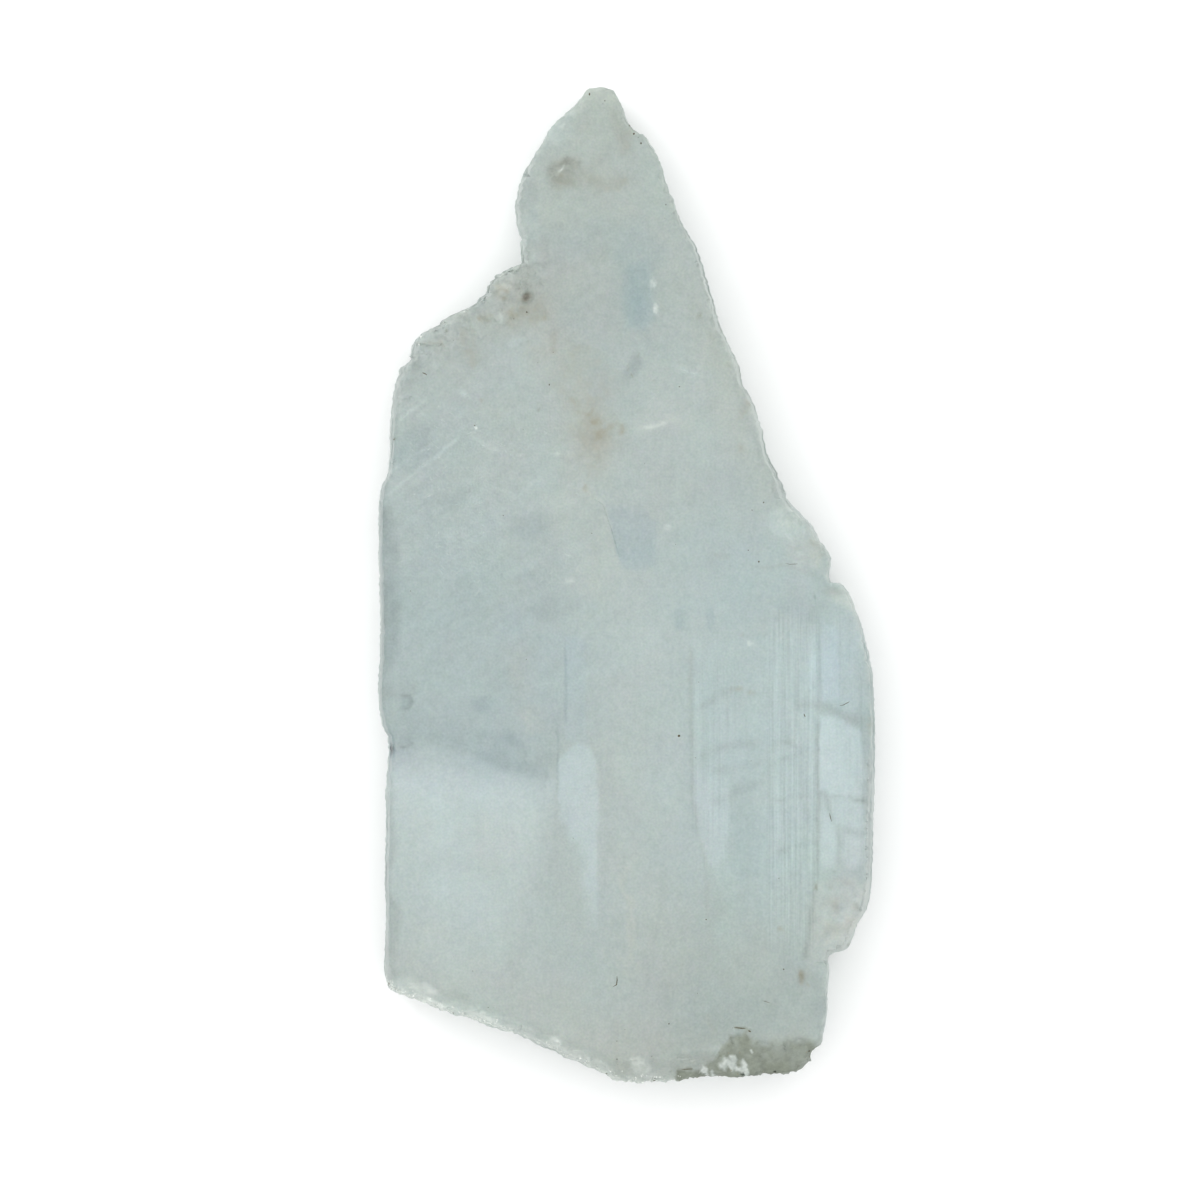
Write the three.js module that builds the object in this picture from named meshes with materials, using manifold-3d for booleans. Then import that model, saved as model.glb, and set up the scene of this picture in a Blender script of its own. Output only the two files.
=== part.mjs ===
// A hand-size slab of selenite, the clear to milky form of gypsum, 105 mm long and 52.5 mm wide, lying
// on its back cleavage face. Millimetres, +Z up. +Y runs along the crystal to its pointed end and +Z is
// square to the broad cleavage faces. The origin is the middle of its plan, on the face it lies on.
import * as THREE from 'three';
import { mergeVertices } from 'three/addons/utils/BufferGeometryUtils.js';
import Module from 'manifold-3d';

const thickness = 13.6;

// The widest outline, anticlockwise from the lower left corner, stretch by stretch. Each stretch has
// its own kind of side: front and back say how far the broad faces draw in from this outline there.
const stretches = [
  { name: 'oblique end', front: 1.3, back: 0.7, points: [
    [-25.5, -41.6], [-25.1, -42.4], [-21.6, -43.8], [-18.2, -45.1], [-12.0, -47.2], [-6.0, -49.9],
    [-2.2, -51.7]] },
  { name: 'foot', front: 0.8, back: 0.7, points: [
    [-0.8, -52.3], [2.6, -52.35], [4.0, -52.5], [5.2, -52.2]] },
  { name: 'clay break', front: 1.0, back: 1.0, points: [
    [9.0, -51.8], [14.5, -51.2], [18.0, -51.2], [19.3, -50.1], [19.5, -49.0], [20.6, -48.1]] },
  { name: 'heel', front: 0.6, back: 0.9, points: [
    [20.9, -46.5], [21.2, -43.5], [21.4, -41.0], [21.2, -39.0]] },
  { name: 'right lobe', front: 0.8, back: 1.5, points: [
    [22.3, -38.6], [23.3, -38.2], [23.9, -37.1], [24.3, -35.8], [25.4, -34.0], [25.8, -31.5],
    [26.0, -28.0], [26.15, -22.0], [26.25, -14.0], [26.1, -11.0], [25.7, -7.5], [25.1, -5.0],
    [24.0, -2.0], [23.0, 0.0], [22.3, 0.35]] },
  { name: 'notch', front: 0.6, back: 0.8, points: [
    [21.4, 0.3], [21.35, 0.8], [21.65, 3.1], [21.3, 3.7]] },
  { name: 'chipped flank', front: 0.9, back: 0.9, points: [
    [20.2, 5.0], [19.7, 6.5], [17.6, 8.4], [16.8, 9.4], [17.0, 9.9], [16.0, 11.5]] },
  { name: 'long flank', front: 0.7, back: 1.2, points: [
    [14.7, 14.0], [14.4, 16.0], [13.6, 18.8], [12.4, 21.0], [11.9, 23.0], [10.9, 25.3], [9.9, 27.3],
    [9.4, 29.2], [8.0, 33.8], [7.0, 36.3], [6.0, 38.1], [4.9, 40.6], [4.0, 43.6], [3.0, 46.0],
    [2.1, 47.4], [0.8, 48.0]] },
  { name: 'point', front: 0.9, back: 1.2, points: [
    [0.2, 48.8], [-0.3, 50.2], [-1.2, 52.0], [-2.0, 52.35], [-3.2, 52.5], [-4.3, 52.1],
    [-5.4, 50.8]] },
  { name: 'neck', front: 1.0, back: 0.9, points: [
    [-8.0, 48.3], [-9.2, 46.2], [-10.2, 44.5], [-11.1, 43.0], [-11.5, 41.3], [-11.8, 39.9],
    [-11.6, 37.8], [-11.1, 36.7], [-11.15, 35.5], [-11.0, 33.8]] },
  { name: 'shoulder', front: 1.7, back: 1.2, points: [
    [-12.0, 33.6], [-13.0, 32.9], [-13.9, 32.9], [-14.5, 32.2], [-15.0, 30.8], [-16.0, 30.3],
    [-16.8, 29.4], [-18.6, 28.5], [-20.0, 27.6], [-21.6, 26.6], [-22.4, 25.8], [-22.7, 24.9],
    [-22.75, 23.8], [-24.0, 22.5], [-24.6, 21.2]] },
  { name: 'left side', front: 0.8, back: 1.1, points: [
    [-24.85, 19.0], [-25.0, 13.0], [-25.2, 11.5], [-25.8, 10.6], [-26.1, 9.0], [-26.2, 7.0],
    [-26.1, 0.0], [-26.0, -8.0], [-26.25, -10.5], [-26.2, -12.2], [-26.0, -14.2], [-25.6, -15.4],
    [-25.25, -15.8], [-25.15, -17.5], [-25.45, -21.5], [-25.3, -24.5], [-25.5, -29.5],
    [-25.35, -34.0], [-25.5, -38.0]] },
];

// The sides draw in towards this line down the middle of the slab, so that no two rings cross.
const spine = new THREE.Line3(new THREE.Vector3(0, -22, 0), new THREE.Vector3(-3.5, 38, 0));

// The slab's section: a height as a share of the thickness, and how much of a stretch's back or
// front draw-in it has there. The widest part is a plain band at half height.
const section = [
  { height: 0, back: 1, front: 0 },
  { height: 0.1, back: 0.35, front: 0 },
  { height: 0.26, back: 0, front: 0 },
  { height: 0.58, back: 0, front: 0 },
  { height: 0.8, back: 0, front: 0.3 },
  { height: 1, back: 0, front: 1 },
];

// Planes that trim the front face. Each passes through a point and falls away to one side, where
// lean is the fall in degrees and heading the way that it falls, anticlockwise from +X. spare is a
// corner: past its X and its Y together nothing is trimmed, which leaves a step there.
const trims = [
  { name: 'left field', at: [-3, 0, 13.3], lean: 1.5, heading: 180 },
  { name: 'right field', at: [7, 0, 13.3], lean: 1.6, heading: 0, spare: [19.7, -39.4] },
  { name: 'taper to the point', at: [-3, 27, 13.3], lean: 8.5, heading: 92 },
  { name: 'shoulder break', at: [-11.2, 28.2, 13.2], lean: 24, heading: 128, spare: [-10.4, -100] },
  { name: 'clay break', at: [12.5, -48.3, 13.2], lean: 38, heading: 277 },
  { name: 'oblique break', at: [-13.5, -44.2, 13.2], lean: 33, heading: 246 },
  { name: 'flank chip', at: [16.2, 6.0, 13.15], lean: 13, heading: 20 },
];

const trimBox = { side: 240, depth: 30 };

const sideKinds = stretches.flatMap((s) => s.points.map(([x, y]) => (
  { x, y, front: s.front, back: s.back })));

// The draw-in eases over its neighbours, so that it doesn't jump where two stretches meet.
function eased(rows, key) {
  const before = rows.at(-1);
  return rows.map((row, i) => {
    const last = rows[i - 1] ?? before;
    const next = rows[(i + 1) % rows.length];
    return (last[key] + 2 * row[key] + next[key]) / 4;
  });
}
const frontDrawIn = eased(sideKinds, 'front');
const backDrawIn = eased(sideKinds, 'back');

function ring(level) {
  return sideKinds.map(({ x, y }, i) => {
    const edge = new THREE.Vector3(x, y, 0);
    const inward = spine.closestPointToPoint(edge, true, new THREE.Vector3()).sub(edge).normalize();
    edge.addScaledVector(inward, level.back * backDrawIn[i] + level.front * frontDrawIn[i]);
    return edge.setZ(level.height * thickness);
  });
}

// One closed skin through the rings, with a flat cap at each end.
function bodyGeometry() {
  const rings = section.map(ring);
  const count = sideKinds.length;
  const corner = (level, i) => level * count + (i % count);
  const faces = [];
  for (let level = 0; level + 1 < rings.length; level += 1) {
    for (let i = 0; i < count; i += 1) {
      faces.push(corner(level, i), corner(level, i + 1), corner(level + 1, i + 1));
      faces.push(corner(level, i), corner(level + 1, i + 1), corner(level + 1, i));
    }
  }
  const top = rings.length - 1;
  THREE.ShapeUtils.triangulateShape(rings[0], []).forEach(([a, b, c]) => faces.push(a, c, b));
  THREE.ShapeUtils.triangulateShape(rings[top], []).forEach(([a, b, c]) => (
    faces.push(corner(top, a), corner(top, b), corner(top, c))));
  return new THREE.BufferGeometry().setFromPoints(rings.flat()).setIndex(faces);
}

// A block whose under face is the trim's plane.
function trimGeometry({ at, lean, heading }) {
  const { side, depth } = trimBox;
  const block = new THREE.BoxGeometry(side, side, depth).translate(0, 0, depth / 2);
  const turn = THREE.MathUtils.degToRad(heading);
  const fallAxis = new THREE.Vector3(-Math.sin(turn), Math.cos(turn), 0);
  block.applyMatrix4(new THREE.Matrix4().makeRotationAxis(fallAxis, THREE.MathUtils.degToRad(lean)));
  return block.translate(...at);
}

// What a trim leaves standing: a tall block with its corner at the given X and Y.
function spareGeometry([x, y]) {
  const { side } = trimBox;
  return new THREE.BoxGeometry(side, side, side).translate(x + side / 2, y + side / 2, 0);
}

const wasm = await Module();
wasm.setup();

function toSolid(geometry) {
  const bare = geometry.clone();
  bare.deleteAttribute('normal');
  bare.deleteAttribute('uv');
  const merged = mergeVertices(bare, 1e-4);
  return new wasm.Manifold(new wasm.Mesh({
    numProp: 3,
    vertProperties: merged.attributes.position.array,
    triVerts: new Uint32Array(merged.index.array),
  }));
}

function toGeometry(solid) {
  const { numProp, vertProperties, triVerts } = solid.getMesh();
  const positions = new Float32Array((vertProperties.length / numProp) * 3);
  for (let i = 0; i * numProp < vertProperties.length; i += 1) {
    positions.set(vertProperties.subarray(i * numProp, i * numProp + 3), i * 3);
  }
  const geometry = new THREE.BufferGeometry();
  geometry.setAttribute('position', new THREE.BufferAttribute(positions, 3));
  geometry.setIndex(new THREE.BufferAttribute(triVerts, 1));
  geometry.computeVertexNormals();
  return geometry;
}

let crystal = toSolid(bodyGeometry());
for (const trim of trims) {
  const block = toSolid(trimGeometry(trim));
  const cutter = trim.spare ? block.subtract(toSolid(spareGeometry(trim.spare))) : block;
  crystal = crystal.subtract(cutter);
}

const selenite = new THREE.MeshStandardMaterial({
  color: '#b4c0bd', roughness: 0.35, metalness: 0, flatShading: true,
});
const slab = new THREE.Mesh(toGeometry(crystal), selenite);
slab.name = 'selenite_slab';

const group = new THREE.Group();
group.add(slab);
export default group;
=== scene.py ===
import math

import bmesh
import bpy
import numpy as np
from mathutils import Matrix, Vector
from mathutils.bvhtree import BVHTree
from mathutils.geometry import delaunay_2d_cdt
from mathutils.kdtree import KDTree


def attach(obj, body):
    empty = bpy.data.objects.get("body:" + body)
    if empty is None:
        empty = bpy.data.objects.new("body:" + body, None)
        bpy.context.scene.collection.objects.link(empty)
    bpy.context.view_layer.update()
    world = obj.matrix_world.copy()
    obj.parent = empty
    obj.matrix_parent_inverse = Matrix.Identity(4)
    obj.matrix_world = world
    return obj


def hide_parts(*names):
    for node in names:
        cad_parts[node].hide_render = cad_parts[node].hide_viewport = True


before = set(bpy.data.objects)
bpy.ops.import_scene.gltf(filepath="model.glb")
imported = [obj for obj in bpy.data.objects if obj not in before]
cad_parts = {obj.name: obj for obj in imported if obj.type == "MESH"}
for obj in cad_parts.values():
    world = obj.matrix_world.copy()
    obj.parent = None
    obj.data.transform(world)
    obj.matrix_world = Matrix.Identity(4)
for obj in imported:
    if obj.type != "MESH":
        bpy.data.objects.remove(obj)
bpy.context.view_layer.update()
print("stage: frame loaded")

mm = 0.001   # every size below is in millimetres; meshes are made in metres


def hexLinear(code, alpha=1.0):
    channels = [int(code[i:i + 2], 16) / 255 for i in (0, 2, 4)]
    linear = [c / 12.92 if c <= 0.04045 else ((c + 0.055) / 1.055) ** 2.4 for c in channels]
    return (*linear, alpha)


def addNode(tree, kind, inputs=(), **settings):   # inputs by name, or as a list from the first socket on
    node = tree.nodes.new(kind)
    for name, value in settings.items():
        setattr(node, name, value)
    named = inputs if isinstance(inputs, dict) else dict(enumerate(inputs))
    for name, value in named.items():
        if isinstance(value, bpy.types.NodeSocket):
            tree.links.new(value, node.inputs[name])
        else:
            node.inputs[name].default_value = value
    return node


def newMaterial(name):   # with its node tree and its shader
    material = bpy.data.materials.new(name)
    material.use_nodes = True
    return material, material.node_tree, material.node_tree.nodes["Principled BSDF"]


def newMesh(name, points, faces):
    mesh = bpy.data.meshes.new(name)
    mesh.from_pydata((np.array(points) * mm).tolist(), [], faces)
    return mesh


def newObject(name, data):
    made = bpy.data.objects.new(name, data)
    bpy.context.scene.collection.objects.link(made)
    return made


def newPiece(name, mesh, material):   # a finished mesh as a piece of the object, moving with it
    piece = newObject(name, mesh)
    mesh.materials.clear()
    mesh.materials.append(material)
    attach(piece, "root")
    return piece


def setValues(mesh, name, values):   # one number a point, for the materials to read
    mesh.attributes.new(name, "FLOAT", "POINT").data.foreach_set("value", values.astype(np.float32))


def smoothStep(value, low, high):
    t = np.clip((value - low) / (high - low), 0, 1)
    return t * t * (3 - 2 * t)


def plainNoise(x, y, scaleX, scaleY, seed):   # soft bumps between -1 and 1, scale mm apart
    table = np.random.default_rng(seed).uniform(-1, 1, (128, 128))
    u, v = x / scaleX, y / scaleY
    i, j = np.floor(u).astype(int), np.floor(v).astype(int)
    fu, fv = smoothStep(u - i, 0, 1), smoothStep(v - j, 0, 1)
    i0, i1, j0, j1 = i % 128, (i + 1) % 128, j % 128, (j + 1) % 128
    low = table[i0, j0] * (1 - fu) + table[i1, j0] * fu
    high = table[i0, j1] * (1 - fu) + table[i1, j1] * fu
    return low * (1 - fv) + high * fv


def facetNoise(x, y, size, seed):   # broken ground: flat tilted facets about size mm across, -1 to 1
    table = np.random.default_rng(seed).uniform(0, 1, (5, 64, 64))
    u, v = x / size, y / size
    i, j = np.floor(u).astype(int), np.floor(v).astype(int)
    best, value = np.full(x.shape, 1e9), np.zeros(x.shape)
    for di in (-1, 0, 1):
        for dj in (-1, 0, 1):
            middleX, middleY, height, tiltX, tiltY = table[:, (i + di) % 64, (j + dj) % 64]
            du, dv = u - i - di - middleX, v - j - dj - middleY
            gap = du ** 2 + dv ** 2
            near = gap < best
            best = np.where(near, gap, best)
            value = np.where(near, height + (tiltX - 0.5) * du + (tiltY - 0.5) * dv, value)
    return 2 * value - 1


def roundSmooth(values, reach):   # running mean along the closed outline
    kernel = np.hanning(2 * reach + 3)[1:-1]
    kernel /= kernel.sum()
    wrapped = np.concatenate([values[-reach:], values, values[:reach]])
    return np.convolve(wrapped, kernel, "valid")


def lineFrame(x, y, line):   # distance to a bent line, its side (right of its run is +), and run along it
    best = np.full(x.shape, 1e9)
    side, run, done = np.zeros(x.shape), np.zeros(x.shape), 0.0
    for (ax, ay), (bx, by) in zip(line, line[1:]):
        dx, dy = bx - ax, by - ay
        size = math.hypot(dx, dy)
        t = np.clip(((x - ax) * dx + (y - ay) * dy) / size ** 2, 0, 1)
        gap = np.hypot(x - ax - t * dx, y - ay - t * dy)
        near = gap < best
        cross = dy * (x - ax) - dx * (y - ay)
        best = np.where(near, gap, best)
        side = np.where(near, np.where(cross >= 0, gap, -gap), side)
        run = np.where(near, done + t * size, run)
        done += size
    return best, side, run, done


def evenSteps(line, countFor, closed=False):   # even points on a bent line, and their run along it
    line = np.vstack([line, line[:1]]) if closed else np.array(line)
    run = np.concatenate([[0], np.hypot(*np.diff(line, axis=0).T).cumsum()])
    even = np.linspace(0, run[-1], countFor(run[-1]), endpoint=not closed)
    return np.stack([np.interp(even, run, line[:, 0]), np.interp(even, run, line[:, 1])], 1), even


def pathHeading(path):
    along = np.gradient(path, axis=0)
    return along / np.hypot(*along.T)[:, None]


def turnedAbout(x, y, at, turn):   # x and y counted from a place, along axes turned by so many degrees
    c, s = math.cos(math.radians(turn)), math.sin(math.radians(turn))
    return (x - at[0]) * c + (y - at[1]) * s, (y - at[1]) * c - (x - at[0]) * s


def softPatch(x, y, at, size, turn=0.0):   # 1 in the middle, 0.5 at the size given, fading out
    u, v = turnedAbout(x, y, at, turn)
    return 1 - smoothStep(np.hypot(u / size[0], v / size[1]), 0.35, 1.65)


def softLine(x, y, line, width, fade=1.0):   # 1 on a bent line, fading out at its sides and its ends
    gap, side, run, total = lineFrame(x, y, line)
    mask = np.exp(-(gap / width) ** 2) * smoothStep(run, -0.01, fade)
    return mask * smoothStep(total - run, -0.01, fade)


def insidePolygon(x, y, ring):
    inside = np.zeros(x.shape, bool)
    for (ax, ay), (bx, by) in zip(ring, np.roll(ring, -1, axis=0)):
        crosses = (ay > y) != (by > y)
        with np.errstate(divide="ignore", invalid="ignore"):
            inside ^= crosses & (x < (bx - ax) * (y - ay) / (by - ay) + ax)
    return inside


def softPolygon(x, y, ring, edge):   # 1 inside a polygon and 0 outside, turning over edge mm
    gap = lineFrame(x, y, [*ring, ring[0]])[0]
    signed = np.where(insidePolygon(x, y, np.array(ring)), gap, -gap)
    return smoothStep(signed, -edge / 2, edge / 2)


slab = {
    "columnStep": 0.3,        # between columns round the sides
    "faceStep": 0.35,         # between points on the front face
    "backStep": 1.0,
    "height": 13.6,
    "topLimit": 13.58,        # relief never rises past this
    "sampleStep": 0.2,        # between the heights at which the frame's solid is measured
    "waistHeight": 6.0,       # the slab is widest here
    "spine": ((0.0, -22.0), (-3.5, 38.0)),
    "leafThin": 0.35,         # thinnest and thickest leaf of the cleaved sides
    "leafThick": 1.5,
    "rimSlope": 1.1,          # a side flatter than this counts as front face
    "rowGap": 0.03,           # from a cleavage step to the rows of points beside it
    "leafGroove": 0.025,      # half the height of the groove between two leaves
    "seed": 5,
}

# how each stretch of the side broke, anticlockwise, from the point where it starts
sideStretches = [
    {"name": "obliqueEnd", "start": (-25.5, -41.6), "jag": 0.13, "ledge": 0.34, "crumble": 0.55,
     "grit": 0.1},
    {"name": "foot", "start": (-1.5, -52.1), "jag": 0.2, "ledge": 0.3, "crumble": 0.5, "grit": 0.1},
    {"name": "clayBreak", "start": (6.5, -52), "jag": 0.22, "ledge": 0.45, "crumble": 0.4, "grit": 0.14},
    {"name": "heel", "start": (20.7, -47.6), "jag": 0.12, "ledge": 0.3, "crumble": 0.3, "grit": 0.05},
    {"name": "lobe", "start": (21.5, -39), "jag": 0.07, "ledge": 0.3, "crumble": 0.15, "grit": 0.03},
    {"name": "notch", "start": (21.9, 0.3), "jag": 0.1, "ledge": 0.25, "crumble": 0.3, "grit": 0.06},
    {"name": "chippedFlank", "start": (21.3, 3.7), "jag": 0.17, "ledge": 0.3, "crumble": 0.4,
     "grit": 0.08},
    {"name": "longFlank", "start": (15.6, 12), "jag": 0.12, "ledge": 0.32, "crumble": 0.3, "grit": 0.05},
    {"name": "point", "start": (0.6, 48.1), "jag": 0.1, "ledge": 0.25, "crumble": 0.3, "grit": 0.07},
    {"name": "neck", "start": (-6.2, 50), "jag": 0.12, "ledge": 0.26, "crumble": 0.3, "grit": 0.07},
    {"name": "shoulder", "start": (-11, 33.8), "jag": 0.34, "ledge": 0.5, "crumble": 0.35, "grit": 0.09},
    {"name": "leftSide", "start": (-24.7, 21), "jag": 0.06, "ledge": 0.28, "crumble": 0.15, "grit": 0.03},
]

# steps where a cleavage leaf ends on the front face, falling to the right of their run: name, drop, how
# far the drop reaches, how wide its edge is, line
cleavageSteps = [
    ("raised plate", 0, 1, 0.03, [(21.9, -39.4), (19.7, -39.4), (19.75, -30), (19.65, -22), (19.75, -12),
     (19.7, -1)]),
    ("curved leaf", 0.07, 4, 0.05, [(-0.5, 2), (-0.8, 3), (-1.5, 5.5), (-2.5, 8.5), (-5, 10)]),
    ("right field", 0.05, 5, 0.12, [(8.4, -35), (8.3, -29.5), (7.6, -27), (7, -24), (6.7, -20),
     (6.7, -8)]),
    ("crack, low", 0.03, 1.5, 0.04, [(-7.3, -21.5), (-7.2, -14)]),
    ("crack, high", 0.03, 1.5, 0.04, [(-6.4, -14.8), (-6.4, -5.5)]),
    ("film's edge", -0.05, 1.4, 0.1, [(14.6, -38), (14.7, -20), (14.8, -4)]),
    ("groove", 0.05, 0.5, 0.08, [(18.8, -38), (18.9, -24), (19, -6)]),
    ("lobe's leaf", 0.015, 1.5, 0.08, [(22.3, -34), (22.2, -22), (22.3, -4)]),
    ("lobe's rim", 0.06, 2, 0.12, [(24.5, -31), (24.7, -20), (24.4, -8)]),
]
plateEdge = cleavageSteps[0][-1]   # the raised plate's step is already in the frame's solid
# the frame's solid has a sharp ledge at the neck's left, here it is worn to a slope
neckLedge = {"x": -10.4, "low": 29.5, "reach": 3.5, "slope": 1.1, "bend": 1.15}

# the pit near the point: a scoop with a steep upper wall that runs out towards the middle of the slab
pit = {"at": (-6.3, 43.35), "turn": -10, "halfLength": 2.1, "halfWidth": 1.15, "depth": 0.42, "lip": 0.9}
nook = {"at": (-10.4, 30.15), "size": (0.62, 0.5), "depth": 0.5}

# where the front face isn't a cleavage but a break
clayRing = [(5.3, -50.9), (7.5, -50.7), (9, -49.5), (10, -48.5), (10.8, -47.3), (12.8, -46.5),
    (13.3, -47.7), (16, -47.9), (18, -47.3), (20.9, -48), (21.5, -53), (5.2, -53)]
obliqueRim = [(-26, -42.2), (-21.4, -44.1), (-18, -45.5), (-12, -47.6), (-6, -50.3), (-2, -52.2),
    (5.5, -52.6)]
shoulderRim = [(-24.8, 21.5), (-22.9, 25), (-20, 27.4), (-16.5, 29.6), (-14, 32.6), (-11, 33.4)]
crushedRim = [(-26, -41.8), (-21.6, -43.7), (-18, -45), (-12, -47.1), (-6, -49.8), (-2, -51.6),
    (5.5, -52.3)]
chip = {"at": (17.6, 5.8), "size": (2.4, 3.0), "turn": 28, "strike": (20.6, 6.4), "ripple": 0.85}

# finer points where the face has finer shape: name, X range, Y range, step across and along
fineAreas = [
    ("striped strip and lobe", (14.2, 25.6), (-38.9, -2.6), (0.15, 0.5)),
    ("pit", (-9.2, -3), (41.4, 45.9), (0.18, 0.18)),
    ("shoulder", (-23.2, -8.6), (24.2, 33.6), (0.2, 0.2)),
    ("clay break", (4.6, 21.4), (-52.4, -46), (0.23, 0.23)),
    ("oblique break", (-25.6, -1.5), (-52.4, -42), (0.27, 0.27)),
    ("chip", (12.2, 21.2), (0.6, 9.6), (0.25, 0.25)),
    ("blue window, low", (-2.6, 3.4), (1, 9), (0.2, 0.25)),
    ("blue window, high", (-0.8, 4), (21, 34.6), (0.2, 0.25)),
    ("right flank", (4.8, 12.4), (20.6, 31.4), (0.26, 0.26)),
    ("stain", (-6.4, 0), (13.4, 20), (0.2, 0.2)),
    ("scratched corner", (-25.4, -12), (8.6, 21), (0.17, 0.17)),
    ("left edge", (-25.8, -22), (-18.6, -9.6), (0.2, 0.2)),
    ("cracks", (-8.4, -2.6), (-22.6, -4.6), (0.2, 0.35)),
    ("right of the seam", (6.4, 14.2), (-29.4, -2), (0.17, 0.5)),
    ("brown spot", (17.4, 19.6), (-42.4, -39.6), (0.2, 0.2)),
]


def skinCopy():
    skin = bmesh.new()
    skin.from_mesh(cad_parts["selenite_slab"].data)
    bmesh.ops.remove_doubles(skin, verts=skin.verts, dist=1e-6)
    return skin


def waistOutline():   # the frame solid's outline at its widest, anticlockwise, in even steps
    skin = skinCopy()
    everything = skin.verts[:] + skin.edges[:] + skin.faces[:]
    cut = bmesh.ops.bisect_plane(skin, geom=everything, plane_co=(0, 0, slab["waistHeight"] * mm),
                                 plane_no=(0, 0, 1))["geom_cut"]
    beside = {}
    for edge in (part for part in cut if isinstance(part, bmesh.types.BMEdge)):
        for here, there in (edge.verts, reversed(edge.verts)):
            beside.setdefault(here, []).append(there)
    first = min(beside, key=lambda v: (v.co.xy - Vector(sideStretches[0]["start"]) * mm).length)
    chain, last = [first], None
    while True:
        following = [v for v in beside[chain[-1]] if v is not last]
        last = chain[-1]
        if following[0] is first or (len(chain) > 2 and first in beside[last]):
            break
        chain.append(following[0])
    points = np.array([v.co.xy for v in chain]) / mm
    skin.free()
    ahead = np.roll(points, -1, axis=0)
    if (points[:, 0] * ahead[:, 1] - ahead[:, 0] * points[:, 1]).sum() < 0:
        points = np.roll(points[::-1], 1, axis=0)
    return evenSteps(points, lambda size: round(size / slab["columnStep"]), closed=True)


skin = skinCopy()
skinTree = BVHTree.FromBMesh(skin)
skin.free()
outline, outlineRun = waistOutline()
columnCount = len(outline)
print("stage: outline", columnCount, "columns")


def spinePoints(points):
    a, b = np.array(slab["spine"])
    t = np.clip((points - a) @ (b - a) / ((b - a) @ (b - a)), 0, 1)
    return a + t[:, None] * (b - a)


def frontHeight(x, y, faces=skinTree):   # the frame solid's front face at a point, or None off it
    hit = faces.ray_cast(Vector((x * mm, y * mm, 0.1)), Vector((0, 0, -1)))[0]
    return hit.z / mm if hit else None


def stretchValues(key):   # a stretch's value at every column, easing over where two stretches meet
    starts = [int(np.argmin(np.hypot(*(outline - np.array(s["start"])).T))) for s in sideStretches]
    values = np.zeros(columnCount)
    for k, stretch in enumerate(sideStretches):
        low, high = starts[k], starts[(k + 1) % len(starts)]
        span = range(low, high if high > low else high + columnCount)
        values[[i % columnCount for i in span]] = stretch[key]
    return roundSmooth(values, 4)


def insetTable():   # how far the frame solid's side lies inside its outline, by column and height
    heights = np.arange(0.0, slab["height"] + 0.01, slab["sampleStep"])
    centres = spinePoints(outline)
    reach = np.hypot(*(outline - centres).T)
    outward = (outline - centres) / reach[:, None]
    table = np.full((columnCount, len(heights)), 9.0)
    for i in range(columnCount):
        way = Vector((*outward[i], 0))
        for j, height in enumerate(heights):
            start = Vector((*centres[i], min(max(height, 0.02), slab["topLimit"]))) * mm
            hit, facing = skinTree.ray_cast(start, way)[:2]
            if hit and facing.dot(way) > 0:
                table[i, j] = reach[i] - (hit - start).length / mm
    return heights, table, -outward


def rimHeights(heights, table):   # where the side turns over into the front face
    rims = np.zeros(columnCount)
    drawIn = slab["rimSlope"] * slab["sampleStep"]
    for i in range(columnCount):
        j = int(np.searchsorted(heights, 8.0))
        while j + 1 < len(heights) and table[i, j + 1] - table[i, j] < drawIn:
            j += 1
        rims[i] = heights[j]
    lowest = np.minimum.reduce([np.roll(rims, k) for k in range(-3, 4)])
    return roundSmooth(lowest, 5)


def plateaus(rng, shortest, longest, depth):   # a leaf's edge: even stretches with sudden jumps
    values, i = np.zeros(columnCount), 0
    while i < columnCount:
        length = int(rng.uniform(shortest, longest) / slab["columnStep"])
        values[i:i + length] = rng.random() ** 1.6 * depth
        i += max(length, 1)
    return roundSmooth(values, 1)


def pitDepth(x, y):
    u, v = turnedAbout(x, y, pit["at"], pit["turn"])
    u = u / pit["halfLength"]
    lip = np.sqrt(np.clip(1 - u ** 2, 0, 1)) * pit["halfWidth"]
    below = lip - v + 0.08 * plainNoise(x, y, 0.5, 0.5, 51)
    rise = np.clip(1 - below / (2.1 * pit["halfWidth"]), 0, 1)
    ends = np.clip(1 - u ** 2, 0, 1) ** 0.7
    return pit["depth"] * ends * smoothStep(below, 0, pit["lip"]) * rise ** 0.8


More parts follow.
